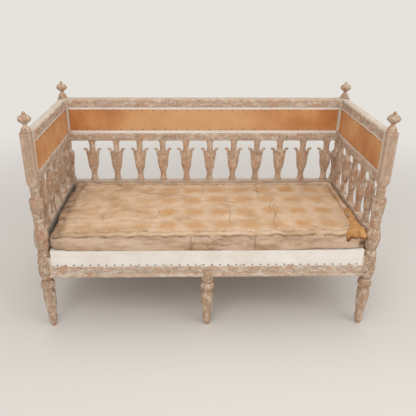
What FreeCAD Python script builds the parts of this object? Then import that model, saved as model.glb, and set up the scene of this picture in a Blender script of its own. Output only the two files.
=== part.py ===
import FreeCAD
import Part
import math
import os

# Settee with an open back and arms: turned corner posts, moulded rails, tulip balusters with eared
# rims, tacked canvas panels, a calico-covered seat and a loose squab cushion.
# Millimetres. +Z is up, +X runs along the seat, the sitter faces -Y. The origin is on the floor
# below the middle of the settee.

# Distances between the corner posts' axes
POST_SPACING_X = 1410.0
POST_SPACING_Y = 614.0

# Corner post, floor to top: height and largest radius of each turned length
TOE_HEIGHT = 18.0
TOE_RADIUS = 14.0
FOOT_HEIGHT = 40.0
FOOT_RADIUS = 20.0
SHANK_HEIGHT = 130.0
SHANK_RADIUS = 27.5
COVE_HEIGHT = 12.0
COVE_RADIUS = 21.0
COLLAR_HEIGHT = 45.0
COLLAR_RADIUS = 30.5
BULB_HEIGHT = 152.0
BULB_RADIUS = 32.0
VASE_HEIGHT = 103.0
VASE_RADIUS = 31.5
THROAT_HEIGHT = 28.0
THROAT_RADIUS = 21.7
RING_HEIGHT = 17.0
RING_RADIUS = 23.5
TULIP_HEIGHT = 87.0
TULIP_RADIUS = 28.0
NECK_HEIGHT = 30.0
NECK_RADIUS = 18.0
BEAD_HEIGHT = 22.0
BEAD_RADIUS = 20.0

# Square block at the top of a post, with two flutes in each outer face
SHOULDER_HEIGHT = 38.0
BLOCK_HEIGHT = 189.0
BLOCK_WIDTH = 44.0
FLUTE_WIDTH = 10.0
FLUTE_DEPTH = 2.5
FLUTE_SPACING = 15.0
FLUTE_STOP = 9.0

# Turned profiles: (share of the length's height, share of its radius), from the bottom up
TOE_SHARES = [(0.0, 0.88), (1.0, 1.0)]
FOOT_SHARES = [(0.0, 0.80), (0.45, 1.0), (0.85, 0.95), (1.0, 0.85)]
SHANK_SHARES = [(0.0, 0.64), (0.25, 0.80), (0.55, 0.96), (0.85, 1.0), (1.0, 0.93)]
COVE_SHARES = [(0.0, 1.0), (0.5, 0.94), (1.0, 1.0)]
COLLAR_SHARES = [(0.0, 0.80), (0.42, 1.0), (0.78, 0.92), (1.0, 0.66)]
BULB_SHARES = [(0.0, 0.61), (0.10, 0.82), (0.28, 1.0), (0.55, 0.97), (0.80, 0.86), (1.0, 0.72)]
VASE_SHARES = [(0.0, 0.75), (0.2, 0.90), (0.55, 1.0), (0.85, 0.82), (1.0, 0.69)]
THROAT_SHARES = [(0.0, 1.0), (0.5, 0.95), (1.0, 1.0)]
RING_SHARES = [(0.0, 0.92), (0.5, 1.0), (1.0, 0.87)]
TULIP_SHARES = [(0.0, 0.73), (0.3, 0.86), (0.65, 0.98), (0.9, 1.0), (1.0, 0.97)]
NECK_SHARES = [(0.0, 1.05), (0.5, 0.95), (1.0, 1.0)]
BEAD_SHARES = [(0.0, 0.88), (0.5, 1.0), (1.0, 0.86)]
SHOULDER_SHARES = [(0.0, 0.55), (0.4, 0.80), (1.0, 1.0)]
STRAIGHT_SHARES = [(0.0, 1.0), (1.0, 1.0)]

# Finial, pinned into the top of each post
FINIAL_CAP_HEIGHT = 34.0
FINIAL_CAP_RADIUS = 21.0
FINIAL_BUD_HEIGHT = 36.0
FINIAL_BUD_RADIUS = 25.5
FINIAL_BUTTON_HEIGHT = 10.0
FINIAL_BUTTON_RADIUS = 7.0
FINIAL_PIN_RADIUS = 5.0
FINIAL_PIN_LENGTH = 25.0
FINIAL_CAP_SHARES = [(0.0, 1.0), (0.30, 0.90), (0.62, 0.58), (0.85, 0.42), (1.0, 0.43)]
FINIAL_BUD_SHARES = [(0.0, 0.40), (0.25, 0.82), (0.50, 1.0), (0.76, 0.78), (1.0, 0.32)]
FINIAL_BUTTON_SHARES = [(0.0, 0.75), (0.4, 1.0), (0.8, 0.80), (1.0, 0.40)]

# Middle legs below the long seat rails; the knee is housed in the rail and doweled up into it
KNEE_HEIGHT = 68.0
KNEE_RADIUS = 29.0
KNEE_HOUSING = 31.0
KNEE_SHARES = [(0.0, 0.69), (0.25, 0.92), (0.55, 1.0), (1.0, 0.97)]
MIDDLE_COLLAR_HEIGHT = 42.0
DOWEL_RADIUS = 8.0
DOWEL_LENGTH = 40.0

# Tenons that join every rail to its posts
RAIL_SHOULDER = 19.0
TENON_LENGTH = 13.0
TENON_DEPTH = 10.0
TENON_SET = 8.0

# Seat rails: a plain lip runs along the lower edge of the outer face
SEAT_RAIL_RISE = 20.0
SEAT_RAIL_HEIGHT = 100.0
SEAT_RAIL_DEPTH = 36.0
SEAT_LIP_HEIGHT = 12.0
SEAT_LIP_DEPTH = 3.0
SEAT_FACE_HEIGHT = 54.0

# Cross rail and corner blocks inside the seat frame
CROSS_RAIL_WIDTH = 45.0
CROSS_RAIL_DROP = 15.0
CROSS_RAIL_CLEARANCE = 4.0
CROSS_TENON_LENGTH = 8.0
CORNER_BLOCK_LEG = 70.0
CORNER_BLOCK_RISE = 10.0
CORNER_BLOCK_DROP = 10.0
POST_CLEARANCE = 0.5

# Back and arm rails; the crest and middle rails are rebated for the panels between them
CREST_HEIGHT = 62.0
CREST_DEPTH = 34.0
CREST_FACE_HEIGHT = 42.0
CREST_CHAMFER = 5.0
CREST_DROP = 1.0
MIDDLE_HEIGHT = 58.0
MIDDLE_DEPTH = 28.0
MIDDLE_FACE_HEIGHT = 38.0
MIDDLE_RISE = 9.0
LOWER_HEIGHT = 70.0
LOWER_DEPTH = 30.0
LOWER_GAP = 5.0

# Tulip balusters; the row stands close to the back right post, and each arm's to its back post
BACK_BALUSTERS = 11
SIDE_BALUSTERS = 5
BACK_FIRST_GAP = 125.0
SIDE_FIRST_GAP = 107.0
BALUSTER_WIDTH = 58.0
BALUSTER_DEPTH = 30.0
BALUSTER_CLEARANCE = 3.0
BALUSTER_TENON_WIDTH = 16.0
BALUSTER_TENON_DEPTH = 10.0
BALUSTER_TENON_LENGTH = 10.0
EAR_REACH = 41.0
EAR_CURVE_RADIUS = 24.0
EAR_RADIUS = 5.0
EAR_TIP_RADIUS = 6.2
EAR_HEIGHT_SHARE = 0.79
BALUSTER_SHARES = [
    [(0.0, 0.66), (0.05, 0.66)],
    [(0.05, 0.60), (0.12, 0.50), (0.19, 0.48)],
    [(0.19, 0.54), (0.215, 0.58), (0.24, 0.52)],
    [(0.24, 0.50), (0.29, 0.70), (0.37, 0.85), (0.50, 0.95), (0.64, 1.0), (0.71, 0.97)],
    [(0.71, 0.62), (0.77, 0.52), (0.88, 0.50), (0.955, 0.54)],
    [(0.955, 0.62), (1.0, 0.62)],
]

# Panels: a calico lining in the rebates and a narrower canvas tacked over it
PANEL_SET = 12.0
LINING_THICKNESS = 2.0
LINING_MARGIN = 1.0
LINING_END_GAP = 2.0
CANVAS_THICKNESS = 2.0
CANVAS_UPPER_MARGIN = 12.0
CANVAS_LOWER_MARGIN = 17.0
CANVAS_END_MARGIN = 2.0
SIDE_CANVAS_MARGIN = 8.0

# Tacks, driven through the cloth into the rails
TACK_HEAD_RADIUS = 3.2
TACK_HEAD_HEIGHT = 1.4
TACK_SHANK_RADIUS = 0.9
TACK_SHANK_LENGTH = 10.0
TACK_HEAD_SHARES = [(0.0, 1.0), (0.6, 0.80), (1.0, 0.30)]
PANEL_TACK_PITCH = 57.0
PANEL_TACK_SET = 4.0
SEAT_TACK_PITCH = 35.0
SEAT_TACK_SET = 8.0

# Seat: webbing over the rails, a pad on it and a calico cover drawn down over the rails
WEB_WIDTH = 60.0
WEB_THICKNESS = 2.5
WEB_LAP = 26.0
LENGTHWISE_WEBS = 4
CROSSWISE_WEBS = 11
PAD_HEIGHT = 25.5
COVER_THICKNESS = 2.5

# Loose squab cushion: gaps to the rails round it, and its stuffed form
CUSHION_LEFT_GAP = 15.5
CUSHION_RIGHT_GAP = 1.0
CUSHION_BACK_GAP = 6.0
CUSHION_FRONT_SET = 2.0
CUSHION_REST_GAP = 0.3
CUSHION_THICKNESS = 71.0
CUSHION_CROWN = 8.0
CUSHION_CROWN_RUN = 190.0
CUSHION_ROLL = 28.0
CUSHION_CHANNEL = 5.0
CUSHION_WAIST = 5.0
CUSHION_DRAW = 4.0
CUSHION_CORNER_RADIUS = 28.0
CUSHION_LEAST_CORNER = 10.0
CUSHION_LOWER_SHARES = [(0.45, 0.0), (0.0, 0.40)]
CUSHION_WAIST_SHARES = [0.42, 0.56]
CUSHION_ROLL_SHARES = [(0.0, 0.45), (0.20, 0.12), (0.50, 0.0), (0.80, 0.08)]
CUSHION_CROWN_SHARES = [(0.044, -0.08), (0.4, 0.7), (1.0, 1.0)]

# One length past a face, so that every cut goes clean through, and general values
OVERRUN = 5.0
SAME_POINT = 1e-6
FULL_TURN = 360.0
QUARTER_TURN = 90.0

Vector = FreeCAD.Vector
ORIGIN = Vector(0, 0, 0)
X_AXIS = Vector(1, 0, 0)
Y_AXIS = Vector(0, 1, 0)
Z_AXIS = Vector(0, 0, 1)

# Heights worked out from the stacked lengths
POST_LENGTHS = [
    (TOE_HEIGHT, TOE_RADIUS, TOE_SHARES),
    (FOOT_HEIGHT, FOOT_RADIUS, FOOT_SHARES),
    (SHANK_HEIGHT, SHANK_RADIUS, SHANK_SHARES),
    (COVE_HEIGHT, COVE_RADIUS, COVE_SHARES),
    (COLLAR_HEIGHT, COLLAR_RADIUS, COLLAR_SHARES),
    (BULB_HEIGHT, BULB_RADIUS, BULB_SHARES),
    (VASE_HEIGHT, VASE_RADIUS, VASE_SHARES),
    (THROAT_HEIGHT, THROAT_RADIUS, THROAT_SHARES),
    (RING_HEIGHT, RING_RADIUS, RING_SHARES),
    (TULIP_HEIGHT, TULIP_RADIUS, TULIP_SHARES),
    (NECK_HEIGHT, NECK_RADIUS, NECK_SHARES),
    (BEAD_HEIGHT, BEAD_RADIUS, BEAD_SHARES),
]
BULB_BOTTOM = TOE_HEIGHT + FOOT_HEIGHT + SHANK_HEIGHT + COVE_HEIGHT + COLLAR_HEIGHT
BLOCK_BOTTOM = sum(length[0] for length in POST_LENGTHS)
POST_TOP = BLOCK_BOTTOM + SHOULDER_HEIGHT + BLOCK_HEIGHT
SEAT_RAIL_BOTTOM = BULB_BOTTOM + SEAT_RAIL_RISE
SEAT_RAIL_TOP = SEAT_RAIL_BOTTOM + SEAT_RAIL_HEIGHT
CROSS_RAIL_BOTTOM = SEAT_RAIL_BOTTOM + KNEE_HOUSING + CROSS_RAIL_CLEARANCE
CROSS_RAIL_TOP = SEAT_RAIL_TOP - CROSS_RAIL_DROP
CORNER_BLOCK_BOTTOM = SEAT_RAIL_BOTTOM + CORNER_BLOCK_RISE
CORNER_BLOCK_HEIGHT = SEAT_RAIL_TOP - CORNER_BLOCK_DROP - CORNER_BLOCK_BOTTOM
PAD_BOTTOM = SEAT_RAIL_TOP + 2 * WEB_THICKNESS
SEAT_TOP = PAD_BOTTOM + PAD_HEIGHT + COVER_THICKNESS
LOWER_BOTTOM = SEAT_TOP + LOWER_GAP
LOWER_TOP = LOWER_BOTTOM + LOWER_HEIGHT
MIDDLE_BOTTOM = BLOCK_BOTTOM + MIDDLE_RISE
MIDDLE_TOP = MIDDLE_BOTTOM + MIDDLE_HEIGHT
CREST_TOP = POST_TOP - CREST_DROP
CREST_BOTTOM = CREST_TOP - CREST_HEIGHT
COVER_X = POST_SPACING_X / 2 + SEAT_RAIL_DEPTH / 2 + COVER_THICKNESS
COVER_Y = POST_SPACING_Y / 2 + SEAT_RAIL_DEPTH / 2 + COVER_THICKNESS
COVER_BOTTOM = SEAT_RAIL_BOTTOM + SEAT_FACE_HEIGHT
LAST_GAP = TULIP_RADIUS + BALUSTER_WIDTH / 2 + BALUSTER_CLEARANCE
SIDES = {"back": (0.0, 0.0, 0.5), "left": (QUARTER_TURN, -0.5, 0.0), "right": (-QUARTER_TURN, 0.5, 0.0)}


def box(x_low, x_high, y_low, y_high, z_low, z_high):
    """Block between two corners."""
    return Part.makeBox(x_high - x_low, y_high - y_low, z_high - z_low, Vector(x_low, y_low, z_low))


def line(start, end):
    return Part.LineSegment(start, end).toShape()


def curve(points):
    """Straight edge through two points, or a smooth one through more."""
    if len(points) == 2:
        return line(*points)
    spline = Part.BSplineCurve()
    spline.interpolate(points)
    return spline.toShape()


def turned(lengths):
    """Solid turned about Z from lengths stacked up from the floor, with a step where radii differ."""
    edges = []
    here = ORIGIN
    level = 0.0
    for height, radius, shares in lengths:
        points = [Vector(radius * across, 0, level + height * up) for up, across in shares]
        if not here.isEqual(points[0], SAME_POINT):
            edges.append(line(here, points[0]))
        edges.append(curve(points))
        here = points[-1]
        level += height
    top = Vector(0, 0, level)
    edges += [line(here, top), line(top, ORIGIN)]
    return Part.Face(Part.Wire(edges)).revolve(ORIGIN, Z_AXIS, FULL_TURN)


def moved(shape, x=0.0, y=0.0, z=0.0, turn=0.0):
    """Copy of a shape, turned about Z and then shifted."""
    copy = shape.copy()
    copy.rotate(ORIGIN, Z_AXIS, turn)
    copy.translate(Vector(x, y, z))
    return copy


def to_side(shape, side):
    """Copy of a shape made on the X axis, inner face towards -Y, set at the back or an arm."""
    turn, x_share, y_share = SIDES[side]
    return moved(shape, x_share * POST_SPACING_X, y_share * POST_SPACING_Y, turn=turn)


def post_blank(outward_x, outward_y):
    """Turned post with a square block on top and flutes in the block's two outer faces."""
    half = BLOCK_WIDTH / 2
    corner = half * math.sqrt(2)
    drum = turned([(SHOULDER_HEIGHT, corner, SHOULDER_SHARES), (BLOCK_HEIGHT, corner, STRAIGHT_SHARES)])
    block = drum.common(box(-half, half, -half, half, 0, SHOULDER_HEIGHT + BLOCK_HEIGHT))
    radius = (FLUTE_WIDTH ** 2 / 4 + FLUTE_DEPTH ** 2) / (2 * FLUTE_DEPTH)
    out = half + radius - FLUTE_DEPTH
    flute = Part.makeCylinder(radius, BLOCK_HEIGHT - 2 * FLUTE_STOP)
    for along in (-FLUTE_SPACING / 2, FLUTE_SPACING / 2):
        block = block.cut(moved(flute, along, outward_y * out, SHOULDER_HEIGHT + FLUTE_STOP))
        block = block.cut(moved(flute, outward_x * out, along, SHOULDER_HEIGHT + FLUTE_STOP))
    return turned(POST_LENGTHS).fuse(moved(block, z=BLOCK_BOTTOM)).removeSplitter()


def finial():
    """Cap, carved bud and button on a pin, standing on the top of a post."""
    body = turned([
        (FINIAL_CAP_HEIGHT, FINIAL_CAP_RADIUS, FINIAL_CAP_SHARES),
        (FINIAL_BUD_HEIGHT, FINIAL_BUD_RADIUS, FINIAL_BUD_SHARES),
        (FINIAL_BUTTON_HEIGHT, FINIAL_BUTTON_RADIUS, FINIAL_BUTTON_SHARES),
    ])
    pin = Part.makeCylinder(FINIAL_PIN_RADIUS, FINIAL_PIN_LENGTH, Vector(0, 0, -FINIAL_PIN_LENGTH))
    return moved(body.fuse(pin), z=POST_TOP)


def middle_leg():
    """Leg at the middle of a long seat rail, with a knee in the rail and a dowel above it."""
    knee_top = SEAT_RAIL_BOTTOM + KNEE_HOUSING
    shank_height = knee_top - KNEE_HEIGHT - MIDDLE_COLLAR_HEIGHT - COVE_HEIGHT - FOOT_HEIGHT - TOE_HEIGHT
    leg = turned([
        (TOE_HEIGHT, TOE_RADIUS, TOE_SHARES),
        (FOOT_HEIGHT, FOOT_RADIUS, FOOT_SHARES),
        (shank_height, SHANK_RADIUS, SHANK_SHARES),
        (COVE_HEIGHT, COVE_RADIUS, COVE_SHARES),
        (MIDDLE_COLLAR_HEIGHT, COLLAR_RADIUS, COLLAR_SHARES),
        (KNEE_HEIGHT, KNEE_RADIUS, KNEE_SHARES),
    ])
    return leg.fuse(Part.makeCylinder(DOWEL_RADIUS, DOWEL_LENGTH, Vector(0, 0, knee_top)))


def rail(span, outline):
    """Bar between two posts whose axes are a span apart, with a tenon at each end."""
    half = span / 2 - RAIL_SHOULDER
    points = [Vector(-half, y, z) for y, z in outline]
    body = Part.Face(Part.makePolygon(points + points[:1])).extrude(Vector(2 * half, 0, 0))
    levels = [z for y, z in outline]
    reach = half + TENON_LENGTH
    low = min(levels) + TENON_SET
    high = max(levels) - TENON_SET
    tenon = box(-reach, reach, -TENON_DEPTH / 2, TENON_DEPTH / 2, low, high)
    return body.fuse(tenon).removeSplitter()


def seat_rail(span):
    """Seat rail on the X axis, outer face towards +Y."""
    half = SEAT_RAIL_DEPTH / 2
    lip = half + SEAT_LIP_DEPTH
    lip_top = SEAT_RAIL_BOTTOM + SEAT_LIP_HEIGHT
    return rail(span, [
        (-half, SEAT_RAIL_BOTTOM),
        (lip, SEAT_RAIL_BOTTOM),
        (lip, lip_top),
        (half, lip_top + SEAT_LIP_DEPTH),
        (half, SEAT_RAIL_TOP),
        (-half, SEAT_RAIL_TOP),
    ])


def crest_rail(span):
    """Top rail with chamfered upper edges and a rebate below its inner face."""
    half = CREST_DEPTH / 2
    face_bottom = CREST_TOP - CREST_FACE_HEIGHT
    return rail(span, [
        (-PANEL_SET, CREST_BOTTOM),
        (half, CREST_BOTTOM),
        (half, CREST_TOP - CREST_CHAMFER),
        (half - CREST_CHAMFER, CREST_TOP),
        (CREST_CHAMFER - half, CREST_TOP),
        (-half, CREST_TOP - CREST_CHAMFER),
        (-half, face_bottom),
        (-PANEL_SET, face_bottom),
    ])


def middle_rail(span):
    """Rail below the panel, rebated above its inner face."""
    half = MIDDLE_DEPTH / 2
    face_top = MIDDLE_BOTTOM + MIDDLE_FACE_HEIGHT
    return rail(span, [
        (-half, MIDDLE_BOTTOM),
        (half, MIDDLE_BOTTOM),
        (half, MIDDLE_TOP),
        (-PANEL_SET, MIDDLE_TOP),
        (-PANEL_SET, face_top),
        (-half, face_top),
    ])


def lower_rail(span):
    """Deep plain rail that the balusters stand on."""
    half = LOWER_DEPTH / 2
    return rail(span, [(-half, LOWER_BOTTOM), (half, LOWER_BOTTOM), (half, LOWER_TOP), (-half, LOWER_TOP)])


def baluster_ear(height):
    """Curled ear that leaves the cup on its +X side."""
    tip = Vector(EAR_REACH, 0, height * EAR_HEIGHT_SHARE)
    centre = tip - Vector(0, 0, EAR_CURVE_RADIUS)
    disc = Part.Face(Part.Wire(Part.makeCircle(EAR_RADIUS, tip, X_AXIS)))
    return disc.revolve(centre, Y_AXIS, -QUARTER_TURN).fuse(Part.makeSphere(EAR_TIP_RADIUS, tip))


def baluster_tenons():
    """Stub tenons that enter the lower and middle rails."""
    half_width = BALUSTER_TENON_WIDTH / 2
    half_depth = BALUSTER_TENON_DEPTH / 2
    reach = BALUSTER_TENON_LENGTH
    levels = ((LOWER_TOP - reach, LOWER_TOP), (MIDDLE_BOTTOM, MIDDLE_BOTTOM + reach))
    return [box(-half_width, half_width, -half_depth, half_depth, low, high) for low, high in levels]


def baluster(left_ear, right_ear):
    """Turned tulip, planed flat front and back, between the lower and middle rails."""
    height = MIDDLE_BOTTOM - LOWER_TOP
    half_width = BALUSTER_WIDTH / 2
    half_depth = BALUSTER_DEPTH / 2
    profile = []
    for shares in BALUSTER_SHARES:
        low = shares[0][0]
        run = shares[-1][0] - low
        profile.append((height * run, half_width, [((up - low) / run, across) for up, across in shares]))
    body = turned(profile).common(box(-half_width, half_width, -half_depth, half_depth, 0, height))
    ear = baluster_ear(height)
    if right_ear:
        body = body.fuse(ear)
    if left_ear:
        body = body.fuse(ear.mirror(ORIGIN, X_AXIS))
    return moved(body, z=LOWER_TOP).fuse(baluster_tenons())


def baluster_places(span, count, first_gap):
    """Distances of a row's balusters from the post that the row starts at."""
    pitch = (span - first_gap - LAST_GAP) / (count - 1)
    return [first_gap + index * pitch for index in range(count)]


def baluster_row(span, places, close_end):
    """Balusters on the X axis and their tenons; close_end, +1 or -1, is where the row ends."""
    room = EAR_REACH + EAR_TIP_RADIUS + TULIP_RADIUS
    made = {}
    row = []
    tenons = []
    for place in places:
        ears = (place >= room, span - place >= room)
        ears = ears if close_end > 0 else ears[::-1]
        if ears not in made:
            made[ears] = baluster(*ears)
        x = close_end * (place - span / 2)
        row.append(moved(made[ears], x))
        tenons += [moved(tenon, x) for tenon in baluster_tenons()]
    return row, Part.makeCompound(tenons)


def tack():
    """Tack on the Y axis: domed head in front of Y zero, shank behind it."""
    head = turned([(TACK_HEAD_HEIGHT, TACK_HEAD_RADIUS, TACK_HEAD_SHARES)])
    shank = Part.makeCylinder(TACK_SHANK_RADIUS, TACK_SHANK_LENGTH, Vector(0, 0, -TACK_SHANK_LENGTH))
    shape = head.fuse(shank)
    shape.rotate(ORIGIN, X_AXIS, QUARTER_TURN)
    return shape


def tack_line(length, pitch, y, z):
    """Evenly spaced tacks along X, heads towards -Y."""
    count = max(2, round(length / pitch))
    step = length / count
    shape = tack()
    return [moved(shape, (index + 0.5) * step - length / 2, y, z) for index in range(count)]


def panel(span, lower_margin, upper_margin):
    """Lining, canvas and tacks between the crest and middle rails of one side."""
    low = MIDDLE_BOTTOM + MIDDLE_FACE_HEIGHT
    high = CREST_TOP - CREST_FACE_HEIGHT
    half = span / 2 - BLOCK_WIDTH / 2 - LINING_END_GAP
    lining_face = -PANEL_SET - LINING_THICKNESS
    lining = box(-half, half, lining_face, -PANEL_SET, low + LINING_MARGIN, high - LINING_MARGIN)
    canvas_low = low + lower_margin
    canvas_high = high - upper_margin
    canvas_half = half - CANVAS_END_MARGIN
    canvas_face = lining_face - CANVAS_THICKNESS
    canvas = box(-canvas_half, canvas_half, canvas_face, lining_face, canvas_low, canvas_high)
    tacks = []
    for level in (canvas_low + PANEL_TACK_SET, canvas_high - PANEL_TACK_SET):
        tacks += tack_line(2 * canvas_half, PANEL_TACK_PITCH, canvas_face, level)
    return lining, canvas, tacks


def corner_posts():
    """(name, x direction, y direction) of the four corners."""
    for depth_name, y_sign in (("front", -1), ("back", 1)):
        for width_name, x_sign in (("left", -1), ("right", 1)):
            yield depth_name + "_" + width_name, x_sign, y_sign


def at_corner(shape, x_sign, y_sign):
    return moved(shape, x_sign * POST_SPACING_X / 2, y_sign * POST_SPACING_Y / 2)


def post_holes(radius, low, high):
    """Clear cylinders round the four posts, for cloth and blocks that fit against them."""
    hole = Part.makeCylinder(radius + POST_CLEARANCE, high - low, Vector(0, 0, low))
    return [at_corner(hole, x_sign, y_sign) for name, x_sign, y_sign in corner_posts()]


def cross_rail():
    """Bar from the front seat rail to the back one, above the knees."""
    half = CROSS_RAIL_WIDTH / 2
    inside = POST_SPACING_Y / 2 - SEAT_RAIL_DEPTH / 2
    body = box(-half, half, -inside, inside, CROSS_RAIL_BOTTOM, CROSS_RAIL_TOP)
    reach = inside + CROSS_TENON_LENGTH
    cheek = half - TENON_SET
    tenons = box(-cheek, cheek, -reach, reach, CROSS_RAIL_BOTTOM + TENON_SET, CROSS_RAIL_TOP - TENON_SET)
    return body.fuse(tenons)


def corner_blocks():
    """Glued triangular blocks in the seat frame's corners, hollowed round the posts."""
    low = CORNER_BLOCK_BOTTOM
    inside_x = POST_SPACING_X / 2 - SEAT_RAIL_DEPTH / 2
    inside_y = POST_SPACING_Y / 2 - SEAT_RAIL_DEPTH / 2
    holes = post_holes(BULB_RADIUS, low - OVERRUN, low + CORNER_BLOCK_HEIGHT + OVERRUN)
    blocks = []
    for (name, x_sign, y_sign), hole in zip(corner_posts(), holes):
        corner = Vector(x_sign * inside_x, y_sign * inside_y, low)
        along_x = corner - Vector(x_sign * CORNER_BLOCK_LEG, 0, 0)
        along_y = corner - Vector(0, y_sign * CORNER_BLOCK_LEG, 0)
        face = Part.Face(Part.makePolygon([corner, along_x, along_y, corner]))
        blocks.append(face.extrude(Vector(0, 0, CORNER_BLOCK_HEIGHT)).cut(hole))
    return Part.makeCompound(blocks)


def strap_places(inside, count):
    """Middles of evenly spaced straps in a bay of half width inside."""
    step = 2 * inside / count
    return [(index + 0.5) * step - inside for index in range(count)]


def webbing():
    """Lengthwise straps on the side rails, and crosswise straps laid over them."""
    inside_x = POST_SPACING_X / 2 - SEAT_RAIL_DEPTH / 2
    inside_y = POST_SPACING_Y / 2 - SEAT_RAIL_DEPTH / 2
    half = WEB_WIDTH / 2
    level = SEAT_RAIL_TOP + WEB_THICKNESS
    reach_x = inside_x + WEB_LAP
    reach_y = inside_y + WEB_LAP
    lengthwise = [
        box(-reach_x, reach_x, y - half, y + half, SEAT_RAIL_TOP, level)
        for y in strap_places(inside_y, LENGTHWISE_WEBS)
    ]
    crosswise = [
        box(x - half, x + half, -reach_y, reach_y, level, level + WEB_THICKNESS)
        for x in strap_places(inside_x, CROSSWISE_WEBS)
    ]
    return Part.makeCompound(lengthwise), Part.makeCompound(crosswise)


def seat_pad_and_cover():
    """Pad on the webbing and the calico drawn over it and down the rails, both cut round the posts."""
    inner_x = COVER_X - COVER_THICKNESS
    inner_y = COVER_Y - COVER_THICKNESS
    pad_top = PAD_BOTTOM + PAD_HEIGHT
    pad = box(-inner_x, inner_x, -inner_y, inner_y, PAD_BOTTOM, pad_top)
    cover = box(-COVER_X, COVER_X, -COVER_Y, COVER_Y, COVER_BOTTOM, SEAT_TOP)
    cover = cover.cut(box(-inner_x, inner_x, -inner_y, inner_y, COVER_BOTTOM - OVERRUN, pad_top))
    for hole in post_holes(max(BULB_RADIUS, VASE_RADIUS), COVER_BOTTOM - OVERRUN, SEAT_TOP + OVERRUN):
        pad = pad.cut(hole)
        cover = cover.cut(hole)
    return pad, cover


def seat_tacks():
    """Tacks along the lower edge of the cover on all four sides."""
    level = COVER_BOTTOM + SEAT_TACK_SET
    clear = BULB_RADIUS + POST_CLEARANCE + SEAT_TACK_SET
    tacks = []
    long_line = tack_line(POST_SPACING_X - 2 * clear, SEAT_TACK_PITCH, -COVER_Y, level)
    short_line = tack_line(POST_SPACING_Y - 2 * clear, SEAT_TACK_PITCH, -COVER_X, level)
    for shape in long_line:
        tacks += [shape, moved(shape, turn=2 * QUARTER_TURN)]
    for shape in short_line:
        tacks += [moved(shape, turn=QUARTER_TURN), moved(shape, turn=-QUARTER_TURN)]
    return Part.makeCompound(tacks)


def cushion_outline(middle, size, inset, level):
    """Rounded outline whose four sides are drawn in between the corners."""
    half_x = size.x / 2 - inset
    half_y = size.y / 2 - inset
    radius = max(CUSHION_CORNER_RADIUS - inset, CUSHION_LEAST_CORNER)
    slant = radius * (1 - math.sqrt(0.5))
    points = []
    for x_sign, y_sign in ((1, -1), (1, 1), (-1, 1), (-1, -1)):
        on_x_side = Vector(x_sign * half_x, y_sign * (half_y - radius), level)
        on_corner = Vector(x_sign * (half_x - slant), y_sign * (half_y - slant), level)
        on_y_side = Vector(x_sign * (half_x - radius), y_sign * half_y, level)
        leads_in = x_sign * y_sign < 0
        points.append([on_y_side, on_corner, on_x_side] if leads_in else [on_x_side, on_corner, on_y_side])
    edges = []
    for index, corner in enumerate(points):
        start = corner[-1]
        end = points[(index + 1) % len(points)][0]
        draw = X_AXIS * (-CUSHION_DRAW if start.x > 0 else CUSHION_DRAW)
        if index % 2:
            draw = Y_AXIS * (-CUSHION_DRAW if start.y > 0 else CUSHION_DRAW)
        edges.append(Part.Arc(*corner).toShape())
        edges.append(Part.Arc(start, (start + end) / 2 + draw, end).toShape())
    wire = Part.Wire(edges)
    wire.translate(middle)
    return wire


def cushion():
    """Squab with a rolled edge, a sewn channel inside the roll and a crowned top, pressed in at the posts."""
    left = -POST_SPACING_X / 2 + CREST_DEPTH / 2 + CUSHION_LEFT_GAP
    right = POST_SPACING_X / 2 - CREST_DEPTH / 2 - CUSHION_RIGHT_GAP
    front = -COVER_Y + CUSHION_FRONT_SET
    back = POST_SPACING_Y / 2 - CREST_DEPTH / 2 - CUSHION_BACK_GAP
    bottom = SEAT_TOP + CUSHION_REST_GAP
    middle = Vector((left + right) / 2, (front + back) / 2, bottom)
    size = Vector(right - left, back - front, 0)
    roll = CUSHION_ROLL
    edge = CUSHION_THICKNESS
    sections = [(roll * inward, roll * up) for inward, up in CUSHION_LOWER_SHARES]
    sections += [(CUSHION_WAIST, edge * up) for up in CUSHION_WAIST_SHARES]
    sections += [(roll * inward, edge - roll * down) for inward, down in CUSHION_ROLL_SHARES]
    sections.append((roll, edge - CUSHION_CHANNEL))
    sections += [
        (roll + CUSHION_CROWN_RUN * inward, edge + CUSHION_CROWN * up) for inward, up in CUSHION_CROWN_SHARES
    ]
    wires = [cushion_outline(middle, size, inset, level) for inset, level in sections]
    squab = Part.makeLoft(wires, True, True)
    for hole in post_holes(max(BULB_RADIUS, VASE_RADIUS), SEAT_TOP - OVERRUN, bottom + 2 * CUSHION_THICKNESS):
        squab = squab.cut(hole)
    return squab


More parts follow.
